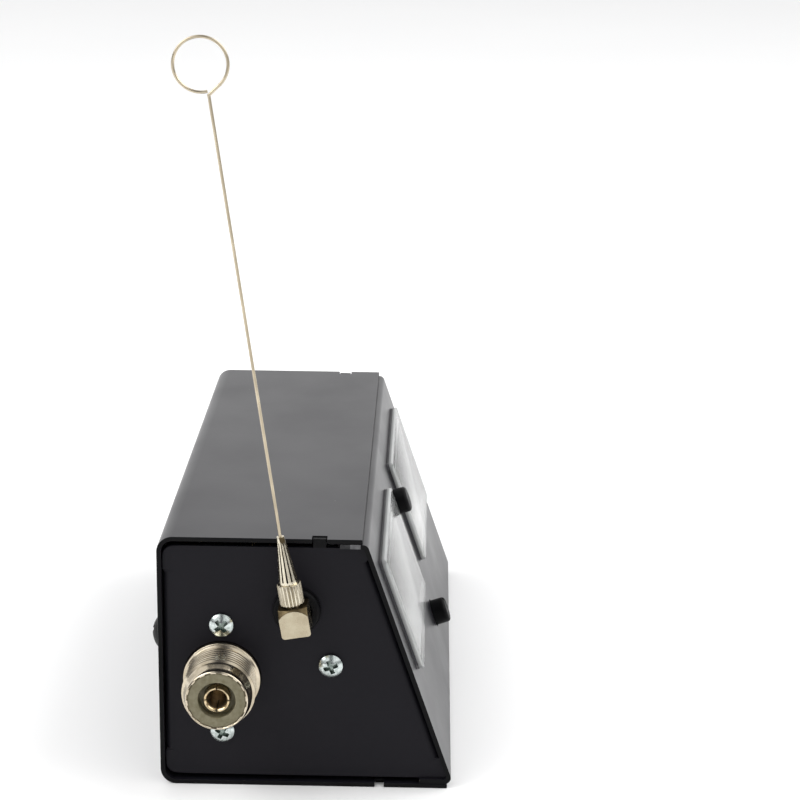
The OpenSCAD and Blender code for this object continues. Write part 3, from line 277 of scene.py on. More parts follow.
# Front panel
# A sloping steel sheet with a return flange under the cover at the top and at the base,
# cut out for the two meters and the two controls, sprayed semi-gloss black. Its sheared ends are
# near-black, partly as painted shade of the seams beside them, and the sheared ends of the top
# flange carry a painted highlight, brighter towards the front and dimmer behind.
panel_paint = dusted(
    finish("panel_paint", [(0.008, 0.0077, 0.011), (0.011, 0.0107, 0.014)], patch=20, grain=0.7,
           rough=(0.30, 0.38), depth=0.006),
    spacing=3.6, size=0.03, tone=(0.2, 0.2, 0.2))
flange_end_highlight = finish("flange_end_highlight", [(0.13, 0.13, 0.135), (0.08, 0.08, 0.084)], patch=1.2, grain=0.3,
                   rough=(0.4, 0.55), depth=0.006, Specular_IOR_Level=0.2)
flange_end_dim_highlight = finish("flange_end_dim_highlight", [(0.03, 0.03, 0.032), (0.015, 0.015, 0.016)], patch=1.2, grain=0.3,
                   rough=(0.4, 0.55), depth=0.006, Specular_IOR_Level=0.2)
FLANGE_UNDER, BEND_START, BRIGHT_UP_TO = 55.88, -11.3, -9.1
panel_form = split_at(softened("front_panel", width=0.15), (0, 0, FLANGE_UNDER), (0, 0, 1))
for across_flange in (BEND_START, BRIGHT_UP_TO):
    split_at(panel_form, (0, across_flange, 0), (0, 1, 0))
panel = piece(panel_form, "front_sheet", panel_paint, stands_for=["front_panel"])


def on_flange_end(polygon):
    """True on the sheared ends of the top flange, behind its bend."""
    high, flat = polygon.center.z > FLANGE_UNDER * MM, polygon.center.y > BEND_START * MM
    return on_cut_edge(polygon) and high and flat


# The sheared ends are near-black, partly as painted shade of the seams beside them.
repainted(panel, cut_edge_and_shade, on_cut_edge)
# A painted highlight on the top flange's sheared ends, dimmer behind and brighter towards the front.
repainted(panel, flange_end_dim_highlight, on_flange_end)
repainted(panel, flange_end_highlight,
          lambda polygon: on_flange_end(polygon) and polygon.center.y < BRIGHT_UP_TO * MM)
even_shading(panel)

# End panels
# Inset steel plates with bent flanges, sprayed a duller black than the cover.
# The rear flange takes the cover screw and the sloping one is welded behind the front panel.
# The paint has filled the bend reliefs at the flanges' ends.
joints = {joint["name"]: joint for joint in frame["joints"]}
FRONT_OUT = -Vector(joints["button_press"]["axis"])
FRONT_UP = Vector((0, FRONT_OUT.z, -FRONT_OUT.y))
SLOPE_TOP = Vector((0, -12.4, 58.0))
PLATE_OUT, PLATE_MIDDLE, PLATE_TOP_Z, PLATE_ROUND = 66.7, 66.2, 55.82, 0.75
REAR_FROM, FLANGE_MIDDLE_Z, FLANGE_HALF_L = 27.0, 29.0, 20.95
RELIEF_T, RELIEF_L, RELIEF_W = 0.92, 1.7, 0.26
REAR_RELIEFS = [Vector((0, 30.25, height)) for height in (8.075, 49.925)]
FRONT_RELIEFS = [SLOPE_TOP - FRONT_UP * down - FRONT_OUT * 2.35 for down in (4.875, 53.542)]


def joined(*groups):
    """One form from several, each given with the places where it is repeated."""
    whole = bmesh.new()
    for form, places in groups:
        pattern = bpy.data.meshes.new("pattern")
        form.to_mesh(pattern)
        form.free()
        for place in places:
            earlier = len(whole.verts)
            whole.from_mesh(pattern)
            whole.verts.ensure_lookup_table()
            bmesh.ops.transform(whole, matrix=place, verts=whole.verts[earlier:])
        bpy.data.meshes.remove(pattern)
    return whole


def at_plate_corner(edge):
    """True on the outer edges of a plate's rear corners, beyond the ends of its rear flange."""
    outer = all(abs(abs(vert.co.x) - PLATE_OUT * MM) < 0.01 * MM for vert in edge.verts)
    rear = all(vert.co.y > REAR_FROM * MM for vert in edge.verts)
    beyond_flange = all(abs(vert.co.z - FLANGE_MIDDLE_Z * MM) > FLANGE_HALF_L * MM
                        for vert in edge.verts)
    return outer and rear and beyond_flange


end_paint = dusted(
    finish("end_paint", [(0.0060, 0.0055, 0.0082), (0.0085, 0.0079, 0.0108)], patch=18, grain=0.5,
           rough=(0.45, 0.58), depth=0.010, Specular_IOR_Level=0.14),
    spacing=4.5, size=0.03, tone=(0.06, 0.06, 0.06))
for side, sign in (("left", -1), ("right", 1)):
    fill = bmesh.new()
    bmesh.ops.create_cube(fill, size=1.0)
    bmesh.ops.scale(fill, vec=(RELIEF_T, RELIEF_L, RELIEF_W), verts=fill.verts)
    across = Matrix((Vector((-1, 0, 0)), FRONT_OUT, FRONT_UP)).transposed().to_4x4()
    fill_places = []
    for spots, turn in ((REAR_RELIEFS, Matrix()), (FRONT_RELIEFS, across)):
        for spot in spots:
            spot = (spot + Vector((sign * PLATE_MIDDLE, 0, 0))) * MM
            fill_places.append(Matrix.Translation(spot) @ turn @ Matrix.Scale(MM, 4))
    sheet = rounded(merged(side + "_end_panel"), PLATE_ROUND, segments=4, chosen=at_plate_corner)
    sheet = split_at(rounded(sheet, width=0.12), (0, 0, PLATE_TOP_Z), (0, 0, 1))
    plate = piece(joined((sheet, [Matrix()]), (fill, fill_places)), side + "_end_plate", end_paint,
                  stands_for=[side + "_end_panel"])
    # The tops of the tabs that stand in the cover's notches are near-black: painted shade.
    repainted(plate, cut_edge_and_shade, lambda polygon: polygon.center.z > PLATE_TOP_Z * MM)
    even_shading(plate)

# Cover screws
# Two big domed steel screws with a cross recess, black oxide, through the back of the cover
# into the rear flanges of the end panels.


def solids_of(node):
    """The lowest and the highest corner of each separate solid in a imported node, in a fixed order."""
    form = bmesh.new()
    form.from_mesh(nodes[node].data)
    bmesh.ops.remove_doubles(form, verts=form.verts, dist=0.002 * MM)
    boxes = []
    waiting = set(form.verts)
    while waiting:
        reached = [waiting.pop()]
        spots = []
        while reached:
            vert = reached.pop()
            spots.append(vert.co.copy())
            near = {edge.other_vert(vert) for edge in vert.link_edges} & waiting
            waiting -= near
            reached.extend(near)
        boxes.append((Vector(map(min, zip(*spots))), Vector(map(max, zip(*spots)))))
    form.free()
    return sorted(boxes, key=lambda box: tuple(box[0]))


def facing(spot, axis, turn=0.0):
    """The place of a form made in millimetres whose z axis runs along an axis from a spot."""
    upright = Vector(axis).to_track_quat("Z", "Y").to_matrix().to_4x4()
    spin = Matrix.Rotation(math.radians(turn), 4, "Z")
    return Matrix.Translation(spot) @ upright @ spin @ Matrix.Scale(MM, 4)


def turned(outline, steps=48, closed=False):
    """A form spun round z from (radius, height) points, as on a lathe."""
    form = bmesh.new()
    line = [form.verts.new((radius, 0, height)) for radius, height in outline]
    pairs = list(zip(line, line[1:]))
    if closed:
        pairs.append((line[-1], line[0]))
    edges = [form.edges.new(pair) for pair in pairs]
    bmesh.ops.spin(form, geom=line + edges, cent=(0, 0, 0), axis=(0, 0, 1), angle=2 * math.pi,
                   steps=steps, use_merge=True)
    bmesh.ops.remove_doubles(form, verts=form.verts, dist=1e-4)
    bmesh.ops.recalc_face_normals(form, faces=form.faces)
    return form


def cross_screw(head_r, head_h, crown, shank_r, shank_l, arm, reach, sink):
    """A domed screw with a cross recess, in millimetres: seat on z = 0, shank below it.

    The faces of the recess take the piece's second finish.
    """
    wall = head_h - crown
    dome_r = (head_r ** 2 + crown ** 2) / (2 * crown)
    span = math.asin(head_r / dome_r)
    dome_steps, chamfer, slant = 9, 0.12, arm * 0.16
    outline = [(0, -shank_l), (shank_r, -shank_l), (shank_r, 0), (head_r - chamfer, 0),
               (head_r, chamfer)]
    for step in range(dome_steps + 1):
        lean = span * (1 - step / dome_steps)
        outline.append((dome_r * math.sin(lean), head_h - dome_r + dome_r * math.cos(lean)))
    form = turned(outline, steps=40)
    for axis in (Vector((1, 0, 0)), Vector((0, 1, 0))):
        for offset in (-reach, -arm / 2, arm / 2, reach):
            dome = [face for face in form.faces if face.calc_center_median().z > wall]
            around = {part for face in dome for part in (*face.verts, *face.edges)}
            bmesh.ops.bisect_plane(form, geom=dome + list(around), dist=1e-4,
                                   plane_co=axis * offset, plane_no=axis)
    recess = []
    for face in form.faces:
        spot = face.calc_center_median()
        near, far = sorted((abs(spot.x), abs(spot.y)))
        if spot.z > wall and near < arm / 2 and far < reach:
            recess.append(face)
    walls = bmesh.ops.inset_region(form, faces=recess, thickness=slant, use_even_offset=True,
                                   use_boundary=True)["faces"]
    for face in recess + walls:
        face.material_index = 1
    floor_verts = {vert for face in recess for vert in face.verts}
    bmesh.ops.translate(form, vec=(0, 0, -sink), verts=list(floor_verts))
    return form


black_oxide = finish("black_oxide", [(0.004, 0.004, 0.0045), (0.008, 0.008, 0.0085)], patch=2.5,
                     grain=0.3, rough=(0.42, 0.55), depth=0.006, Specular_IOR_Level=0.15)
COVER_HEAD_H = 2.4
cover_screw_places = []
for turn, (low, high) in zip((45, 70), solids_of("cover_screws")):
    middle = (low + high) / 2
    seat = Vector((middle.x, high.y - COVER_HEAD_H * MM, middle.z))
    cover_screw_places.append(facing(seat, (0, 1, 0), turn))
cover_screw_l = (high.y - low.y) / MM - COVER_HEAD_H
cover_dome_screws = piece(
    joined((cross_screw(head_r=4.25, head_h=COVER_HEAD_H, crown=2.16, shank_r=1.5,
                        shank_l=cover_screw_l, arm=1.1, reach=2.3, sink=1.3), cover_screw_places)),
    "cover_dome_screws", black_oxide, stands_for=["cover_screws"])
# The cross recesses take the near-black edge finish: painted shade.
cover_dome_screws.data.materials.append(cut_edge_and_shade)

# Coaxial sockets
# Turned brass shells, nickel plated, flanged behind each end panel. The barrel has a 24 per inch
# thread, and a ring of teeth inside the lip of its thinner rim. A moulded phenolic insulator holds
# a split gilt contact.
RIM, RIM_R, LIP_R, CORE_R, BORE_R = 12.5, 6.77, 6.47, 7.36, 6.2
RIM_CURVE = [(0, 0.28), (0.08, 0.08), (0.25, 0)]
END_FACE = abs(solids_of("left_socket_shell")[0][0].x) / MM - RIM
SHOULDER_H, CORE_SUNK, THREAD_TOP, RUN_OUT, NOTCH_H = 1.2, 0.3, 10.0, 0.55, 0.45
PITCH, CREST_R, CREST_HALF, TURNS, FACETS = 25.4 / 24, 7.92, 0.16, 7, 48
TEETH, TOOTH_TURN, TOOTH_ROUND = 16, 11.0, 0.06
CONTACT_R, CONTACT_BORE_R, CONTACT_FRONT, SPLIT_FOOT, SPLIT_TURN = 2.8, 2.0, 12.1, 7.5, 7.0
CONTACT_CURVE = [(0, 0.22), (0.08, 0.06), (0.22, 0), (0.4, 0.06)]
LEAD_IN = [(0.12, 0.5), (0, 0.9)]
SEAT = 0.05
mounts = {mount["name"]: Vector(mount["pos_m"]) for mount in frame["record"]["mounts"]}


def thread_ridge():
    """The screw thread as one ridge wound round the barrel's core, faded at both ends."""
    form = bmesh.new()
    sunk, half, clear = 0.12, PITCH * 0.46, 0.06
    foot_r = CORE_R - sunk
    section = [(foot_r, -half), (CREST_R, -CREST_HALF), (CREST_R, CREST_HALF), (foot_r, half)]
    foot = SHOULDER_H + half + clear
    corners = [form.verts.new((radius, 0, foot + height)) for radius, height in section]
    edges = [form.edges.new(pair) for pair in zip(corners, corners[1:] + corners[:1])]
    steps = TURNS * FACETS
    bmesh.ops.spin(form, geom=corners + edges, cent=(0, 0, 0), axis=(0, 0, 1),
                   dvec=(0, 0, PITCH / FACETS), angle=2 * math.pi * TURNS, steps=steps)
    form.verts.ensure_lookup_table()
    fade = FACETS / 3
    for vert in form.verts:
        step = vert.index // len(section)
        share = min(1, step / fade, (steps - step) / fade)
        radius = Vector((vert.co.x, vert.co.y)).length
        scale = (foot_r + (radius - foot_r) * share) / radius
        vert.co.x *= scale
        vert.co.y *= scale
    bmesh.ops.holes_fill(form, edges=[edge for edge in form.edges if edge.is_boundary], sides=0)
    bmesh.ops.recalc_face_normals(form, faces=form.faces)
    return form


def sector(section, degrees, steps):
    """A closed solid spun through part of a turn round z from a ring of (radius, height) points."""
    form = bmesh.new()
    corners = [form.verts.new((radius, 0, height)) for radius, height in section]
    edges = [form.edges.new(pair) for pair in zip(corners, corners[1:] + corners[:1])]
    bmesh.ops.spin(form, geom=corners + edges, cent=(0, 0, 0), axis=(0, 0, 1),
                   angle=math.radians(degrees), steps=steps)
    bmesh.ops.holes_fill(form, edges=[edge for edge in form.edges if edge.is_boundary], sides=0)
    bmesh.ops.recalc_face_normals(form, faces=form.faces)
    return form


def rim_tooth():
    """One tooth inside the rim's lip, its front edges rounded."""
    foot, front_z = RIM - NOTCH_H - 2 * SEAT, RIM - 0.03
    inner_r, outer_r = BORE_R + 0.02, LIP_R + SEAT
    form = sector([(inner_r, foot), (outer_r, foot), (outer_r, front_z), (inner_r, front_z)],
                  TOOTH_TURN, steps=4)
    front = [edge for edge in form.edges
             if edge.is_manifold and edge.calc_face_angle() > CREASE
             and max(vert.co.z for vert in edge.verts) > RIM - NOTCH_H - SEAT]
    bmesh.ops.bevel(form, geom=front, offset=TOOTH_ROUND, offset_type="OFFSET", segments=2,
                    profile=0.5, affect="EDGES", clamp_overlap=True, material=-1)
    return form


def cut_short(node, spot, out):
    """A softened copy of a packed tube, cut square at a spot with its end closed as a ring."""
    form = softened(node, width=0.14)
    bmesh.ops.bisect_plane(form, geom=form.verts[:] + form.edges[:] + form.faces[:], dist=1e-7,
                           plane_co=spot, plane_no=out, clear_outer=True)
    bmesh.ops.bridge_loops(form, edges=[edge for edge in form.edges if edge.is_boundary])
    return form


nickel = finish("nickel", [(0.64, 0.57, 0.45), (0.46, 0.395, 0.29)], patch=2.5, grain=0.3,
                rough=(0.10, 0.20), depth=0.003, Metallic=1.0)
notch_shade_nickel = finish("notch_shade_nickel", [(0.24, 0.21, 0.14), (0.14, 0.12, 0.075)], patch=1.2, grain=0.2,
                     rough=(0.35, 0.5), depth=0.006, Metallic=1.0)
phenolic = finish("phenolic", [(0.205, 0.185, 0.12), (0.14, 0.125, 0.07)], patch=1.1, grain=0.16,
                  rough=(0.4, 0.55), depth=0.025, Specular_IOR_Level=0.3)
gilt = finish("gilt", [(0.76, 0.62, 0.40), (0.56, 0.43, 0.25)], patch=2, grain=0.25,
              rough=(0.14, 0.26), depth=0.003, Metallic=1.0)
bore_shade_gilt = finish("bore_shade_gilt", [(0.60, 0.50, 0.36), (0.46, 0.37, 0.25)], patch=1.5, grain=0.2,
                   rough=(0.3, 0.45), depth=0.006, Metallic=1.0)
for side, sign in (("left", -1), ("right", 1)):
    out = Vector((sign, 0, 0))
    axis_spot = mounts[side + "_barrel"]
    foot = Vector((sign * END_FACE * MM, axis_spot.y, axis_spot.z))
    place = facing(foot, out)
    flange = cut_short(side + "_socket_shell", foot + out * (SHOULDER_H + 2 * SEAT) * MM, out)
    core_foot = SHOULDER_H - CORE_SUNK
    core = turned([(BORE_R, core_foot), (CORE_R, core_foot), (CORE_R, THREAD_TOP),
                   (RIM_R, THREAD_TOP + RUN_OUT),
                   *((RIM_R - inward, RIM - back) for inward, back in RIM_CURVE),
                   (LIP_R, RIM), (LIP_R, RIM - NOTCH_H), (BORE_R, RIM - NOTCH_H)],
                  steps=96, closed=True)
    tooth_places = [place @ Matrix.Rotation(math.tau * count / TEETH, 4, "Z") for count in range(TEETH)]
    shell = piece(joined((flange, [Matrix()]), (core, [place]), (thread_ridge(), [place]),
                         (rim_tooth(), tooth_places)),
                  side + "_threaded_shell", nickel, stands_for=[side + "_socket_shell"])
    # The floors between the rim's teeth are a darker, duller nickel: painted shade.
    notch_floor = foot + out * (RIM - NOTCH_H) * MM
    repainted(shell, notch_shade_nickel,
              lambda polygon: abs((polygon.center - notch_floor).dot(out)) < SEAT * MM)
    even_shading(piece(softened(side + "_socket_insulator", width=0.15), side + "_insulator",
                       phenolic, stands_for=[side + "_socket_insulator"]))
    stem = cut_short(side + "_socket_contact", foot + out * SPLIT_FOOT * MM, out)
    spring = sector([(CONTACT_BORE_R, SPLIT_FOOT - SEAT), (CONTACT_R, SPLIT_FOOT - SEAT),
                     *((CONTACT_R - inward, CONTACT_FRONT - back)
                       for inward, back in CONTACT_CURVE),
                     *((CONTACT_BORE_R + outward, CONTACT_FRONT - back)
                       for outward, back in LEAD_IN)], 90 - SPLIT_TURN, steps=18)
    spring_places = [place @ Matrix.Rotation(math.radians(90 * count + SPLIT_TURN / 2), 4, "Z")
                     for count in range(4)]
    contact = piece(joined((stem, [Matrix()]), (spring, spring_places)), side + "_split_contact", gilt,
                    stands_for=[side + "_socket_contact"])

    def in_bore(polygon):
        """True on the inside of the contact behind its lip."""
        lip_l, skin = 0.6, 0.1
        along = (polygon.center - foot).dot(out)
        inward = foot + out * along - polygon.center
        deep = along < (CONTACT_FRONT - lip_l) * MM
        return deep and inward.length < (CONTACT_R - skin) * MM

    # The inside of the contact behind its lip is a darker, duller gilt: painted shade.
    repainted(contact, bore_shade_gilt, in_bore)

# Panel screws
# Zinc-plated pan-head screws with a cross recess: two through each socket flange and one
# that holds each board bracket, with hexagon nuts inside.
zinc = finish("zinc", [(0.70, 0.75, 0.74), (0.40, 0.46, 0.44)], patch=0.7, grain=0.2,
              rough=(0.14, 0.3), depth=0.012, Metallic=1.0)
zinc_recess_shade = finish("zinc_recess_shade", [(0.36, 0.42, 0.39), (0.16, 0.20, 0.18)], patch=0.5, grain=0.2,
                     rough=(0.3, 0.45), depth=0.02, Metallic=1.0)
PANEL_HEAD_H = 1.7
panel_screw_places = []
for turn, (low, high) in zip((20, 62, 38, 75, 10, 50), solids_of("panel_screws")):
    middle = (low + high) / 2
    sign = math.copysign(1, middle.x)
    seat = Vector((sign * END_FACE * MM, middle.y, middle.z))
    panel_screw_places.append(facing(seat, (sign, 0, 0), turn))
panel_screw_l = (high.x - low.x) / MM - PANEL_HEAD_H
panel_cross_screws = piece(
    joined((cross_screw(head_r=2.6, head_h=PANEL_HEAD_H, crown=1.02, shank_r=1.5,
                        shank_l=panel_screw_l, arm=0.95, reach=1.6, sink=0.95), panel_screw_places)),
    "panel_cross_screws", zinc, stands_for=["panel_screws"])
# The cross recesses take a darker zinc: painted shade.
panel_cross_screws.data.materials.append(zinc_recess_shade)
nodes["panel_nuts"].data.materials[0] = zinc

# Coupler
# A phenolic board on two sheet-steel brackets between the sockets. A brass line joins the two
# contacts, and two copper pick-up wires beside it feed the resistors, diodes and capacitors.
plated_steel = finish("plated_steel", [(0.52, 0.54, 0.55), (0.43, 0.45, 0.46)], patch=5, grain=0.4,
                      rough=(0.3, 0.45), depth=0.004, Metallic=1.0)
board_brown = finish("board_brown", [(0.36, 0.27, 0.12), (0.28, 0.20, 0.08)], patch=6, grain=0.3,
                     rough=(0.45, 0.6), depth=0.01)
brass = finish("brass", [(0.66, 0.50, 0.25), (0.55, 0.40, 0.18)], patch=4, grain=0.3,
               rough=(0.25, 0.4), depth=0.004, Metallic=1.0)
copper = finish("copper", [(0.70, 0.36, 0.20), (0.56, 0.26, 0.13)], patch=4, grain=0.3,
                rough=(0.28, 0.42), depth=0.004, Metallic=1.0)
tan_lacquer = finish("tan_lacquer", [(0.55, 0.40, 0.24), (0.45, 0.31, 0.17)], patch=2, grain=0.3,
                     rough=(0.3, 0.45), depth=0.01)
red_lacquer = finish("red_lacquer", [(0.42, 0.10, 0.05), (0.32, 0.07, 0.03)], patch=2, grain=0.3,
                     rough=(0.2, 0.35), depth=0.004)
for node, material in (
        ("left_board_bracket", plated_steel), ("right_board_bracket", plated_steel),
        ("board_screws", zinc), ("coupler_board", board_brown), ("coupler_line", brass),
        ("pickup_wires", copper), ("load_resistors", tan_lacquer),
        ("bypass_capacitors", tan_lacquer), ("detector_diodes", red_lacquer)):
    nodes[node].data.materials[0] = material

# Antenna jack
# A bushing and a collar of black moulded plastic, set in the left end panel round a spring brass
# contact for the plug of the whip.
moulded_black = finish("moulded_black", [(0.003, 0.003, 0.0035), (0.005, 0.005, 0.0055)], patch=5,
                       grain=0.18, rough=(0.38, 0.5), depth=0.012, Specular_IOR_Level=0.08)
even_shading(piece(softened("jack_collar", width=0.25), "jack_ring", moulded_black,
                   stands_for=["jack_collar"]))
nodes["jack_bushing"].data.materials[0] = moulded_black
nodes["jack_contact"].data.materials[0] = brass

# Whip
# A brass elbow block plugged in the jack, a knurled nut, a slotted tapered collet and a spring wire
# bent to a ring, all with thin warm nickel plating. The elbow takes a darker copy of the plating, and
# its faces under the nut, the flanks of the knurls and the walls of the collet's slots are darker
# again, all as painted shade.
WHIP_LEAN = math.radians(9.6)
WHIP_UP = Vector((0, math.sin(WHIP_LEAN), math.cos(WHIP_LEAN)))
OUTRIGHT, ENDWAYS, UPWARD = 0.86, 0.6, 0.35
whip_plating = finish("whip_plating", [(0.74, 0.69, 0.56), (0.60, 0.54, 0.42)], patch=2.2, grain=0.3,
                      rough=(0.16, 0.3), depth=0.004, Metallic=1.0)
# A darker copy of the same plating for the elbow block: painted shade.
shaded_block_plating = finish("shaded_block_plating", [(0.46, 0.41, 0.30), (0.40, 0.345, 0.245)], patch=2.2, grain=0.3,
                       rough=(0.2, 0.32), depth=0.004, Metallic=1.0)
# Dark plating under the nut and in the collet's slots, and a dimmer one on the knurls' flanks: painted shade.
whip_painted_shade = finish("whip_painted_shade", [(0.13, 0.10, 0.055), (0.07, 0.052, 0.027)], patch=1.2, grain=0.2,
                      rough=(0.35, 0.5), depth=0.006, Metallic=1.0)
knurl_shade = finish("knurl_shade", [(0.44, 0.40, 0.31), (0.32, 0.28, 0.21)], patch=1.2, grain=0.2,
                     rough=(0.25, 0.4), depth=0.006, Metallic=1.0)
wire_plating = finish("wire_plating", [(0.62, 0.54, 0.40), (0.44, 0.38, 0.28)], patch=7, grain=0.4,
                      rough=(0.22, 0.36), depth=0.004, Metallic=1.0)


def beside_the_whip(polygon, middle):
    """True on the flanks of grooves and slots cut along the whip, which don't face away from it; they take painted
    shade.
    """
    outward = polygon.center - middle
    outward -= WHIP_UP * outward.dot(WHIP_UP)
    flank = polygon.normal.dot(outward.normalized()) < OUTRIGHT
    return flank and abs(polygon.normal.dot(WHIP_UP)) < ENDWAYS


def up_the_whip(polygon, middle):
    """True on the faces that look up the whip, under the nut; they take painted shade."""
    return polygon.normal.dot(WHIP_UP) > UPWARD


for node, name, width, plating, shade, shaded in (
        ("whip_elbow", "elbow_block", 0.3, shaded_block_plating, whip_painted_shade, up_the_whip),
        ("whip_knurled_nut", "knurled_nut", 0.05, whip_plating, knurl_shade, beside_the_whip),
        ("whip_collet", "slotted_collet", 0.03, whip_plating, whip_painted_shade, beside_the_whip)):
    made = piece(softened(node, width), name, plating, body="whip", stands_for=[node])
    low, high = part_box(node)
    middle = (Vector(low) + Vector(high)) / 2
    repainted(made, shade, lambda polygon: shaded(polygon, middle))
    even_shading(made)
nodes["whip_wire"].data.materials[0] = wire_plating

# Controls
# A small board on two studs carries a push switch and a variable resistor; the button and the
# knob are equal caps of black moulded plastic.
board_green = finish("board_green", [(0.06, 0.18, 0.07), (0.04, 0.13, 0.05)], patch=6, grain=0.4,
                     rough=(0.3, 0.45), depth=0.006)
cap_black = finish("cap_black", [(0.0025, 0.0025, 0.003), (0.0045, 0.0045, 0.005)], patch=3, grain=0.2,
                   rough=(0.42, 0.55), depth=0.012, Specular_IOR_Level=0.1)
for node, material in (
        ("control_board", board_green), ("control_board_spacers", brass),
        ("control_board_nuts", zinc), ("selector_switch", moulded_black),
        ("calibration_pot", plated_steel)):
    nodes[node].data.materials[0] = material
for node, name in (("selector_button", "button_cap"), ("calibration_knob", "knob_cap")):
    even_shading(piece(softened(node, width=0.1), name, cap_black, body=node,
                       stands_for=[node]))

# Meters
# Moulded black bodies behind the front panel, each with a clear acrylic window on its neck and a
# white dial plate held by two small screws.
FACE_ON = 0.97
acrylic = finish("acrylic", [(0.97, 0.98, 0.98), (0.95, 0.97, 0.97)], patch=20, grain=6,
                 rough=(0.16, 0.22), depth=0.0003, Transmission_Weight=1.0, IOR=1.49,
                 Specular_IOR_Level=0.4)
acrylic_edge_light = finish("acrylic_edge_light", [(0.46, 0.47, 0.46), (0.40, 0.41, 0.41)], patch=9, grain=1.5,
                      rough=(0.3, 0.4), depth=0.002)
body_black = finish("body_black", [(0.062, 0.061, 0.066), (0.045, 0.044, 0.048)], patch=6, grain=0.3,
                    rough=(0.28, 0.4), depth=0.006)
dial_paint = finish("dial_paint", [(0.86, 0.86, 0.83), (0.82, 0.82, 0.79)], patch=14, grain=0.3,
                    rough=(0.5, 0.6), depth=0.003)
for side in ("left", "right"):
    even_shading(piece(softened(side + "_meter_housing", width=0.12), side + "_meter_body",
                       body_black, stands_for=[side + "_meter_housing"]))
    window = piece(softened(side + "_meter_window", width=0.12), side + "_window", acrylic,
                   stands_for=[side + "_meter_window"])
    # The window's sides and rounded edges are an opaque pale grey: painted light standing in for the lit dial seen
    # through the clear walls.
    repainted(window, acrylic_edge_light,
              lambda polygon: abs(polygon.normal.dot(FRONT_OUT)) < FACE_ON)
    nodes[side + "_meter_dial"].data.materials[0] = dial_paint
nodes["dial_screws"].data.materials[0] = zinc
nodes["meter_tags"].data.materials[0] = brass

# Movements
# In each meter a soft-iron yoke round a magnet core, a brass bridge with two jewels, a copper coil
# on a light frame and a black pointer.
soft_iron = finish("soft_iron", [(0.25, 0.26, 0.27), (0.17, 0.17, 0.18)], patch=2, grain=0.4,
                   rough=(0.5, 0.65), depth=0.01, Metallic=1.0)
pointer_lacquer = finish("pointer_lacquer", [(0.012, 0.012, 0.012), (0.02, 0.02, 0.02)], patch=3,
                         grain=0.3, rough=(0.4, 0.5), depth=0.004)
for side in ("left", "right"):
    for part, material in (("yoke", soft_iron), ("core", soft_iron), ("bridge", brass),
                           ("jewels", brass), ("coil", copper), ("pointer", pointer_lacquer)):
        nodes[side + "_meter_" + part].data.materials[0] = material

# Dial print
# Thin black and red ink on each dial, as from a screen: an outer and an inner scale of arcs, ticks
# and plain numbers round the pivot, and a red zone at the end of the outer one.
INK_T, INK_SUNK, DIAL_DEPTH, SWEEP = 0.02, 0.005, 3.8, 38
OUTER_R, OUTER_W, RED_W, OUTER_FIGURES_R, OUTER_FIGURES_H = 21.4, 0.24, 0.6, 24.5, 2.4
INNER_R, INNER_W, INNER_FIGURES_R, INNER_FIGURES_H = 17.0, 0.18, 14.4, 1.7
CAP_SHARE, BOLD_SHARE = 0.7, 0.03
ink = finish("ink", [(0.010, 0.010, 0.011), (0.018, 0.018, 0.019)], patch=3, grain=0.2,
             rough=(0.5, 0.6), depth=0.002)
red_ink = finish("red_ink", [(0.50, 0.03, 0.02), (0.42, 0.025, 0.02)], patch=3, grain=0.2,
                 rough=(0.5, 0.6), depth=0.002)


def arc(radius, width, start, end):
    """A printed arc between two angles from the middle of the scale, in millimetres and degrees."""
    form = bmesh.new()
    ends = [form.verts.new((0, radius + offset, 0)) for offset in (-width / 2, width / 2)]
    stroke = [form.edges.new(ends)]
    bmesh.ops.rotate(form, cent=(0, 0, 0), matrix=Matrix.Rotation(-math.radians(start), 3, "Z"),
                     verts=ends)
    bmesh.ops.spin(form, geom=ends + stroke, cent=(0, 0, 0), axis=(0, 0, -1),
                   angle=math.radians(end - start), steps=max(4, round((end - start) / 2)))
    bmesh.ops.recalc_face_normals(form, faces=form.faces)
    bmesh.ops.solidify(form, geom=form.faces[:], thickness=INK_T)
    return form


def tick(radius, length, width):
    """A printed tick that stands on a radius at the middle of the scale."""
    form = bmesh.new()
    bmesh.ops.create_cube(form, size=1.0)
    bmesh.ops.scale(form, vec=(width, length, INK_T), verts=form.verts)
    bmesh.ops.translate(form, vec=(0, radius + length / 2, INK_T / 2), verts=form.verts)
    return form


def number(figures, height):
    """Printed figures in a bold face, centred on the origin."""
    curve = bpy.data.curves.new("figures", "FONT")
    curve.body = figures
    curve.size = height / CAP_SHARE
    curve.align_x = "CENTER"
    curve.align_y = "CENTER"
    curve.extrude = INK_T / 2
    curve.offset = height * BOLD_SHARE
    lettering = bpy.data.objects.new("figures", curve)
    mesh = bpy.data.meshes.new_from_object(lettering)
    form = bmesh.new()
    form.from_mesh(mesh)
    bmesh.ops.remove_doubles(form, verts=form.verts, dist=1e-5)
    bpy.data.objects.remove(lettering)
    bpy.data.curves.remove(curve)
    bpy.data.meshes.remove(mesh)
    return form


def dial_place(side):
    """The place of a form in millimetres on a dial: origin on the pivot's axis, y up the slope."""
    pivot = Vector(joints[side + "_needle_swing"]["pos_m"])
    spot = pivot - FRONT_OUT * (DIAL_DEPTH - INK_SUNK) * MM
    dial_axes = Matrix((Vector((1, 0, 0)), FRONT_UP, FRONT_OUT)).transposed().to_4x4()
    return Matrix.Translation(spot) @ dial_axes @ Matrix.Scale(MM, 4)


def at_angle(place, share):
    """A place turned to a share of the scale, 0 at its left end and 1 at its right end."""
    return place @ Matrix.Rotation(-math.radians((2 * share - 1) * SWEEP), 4, "Z")


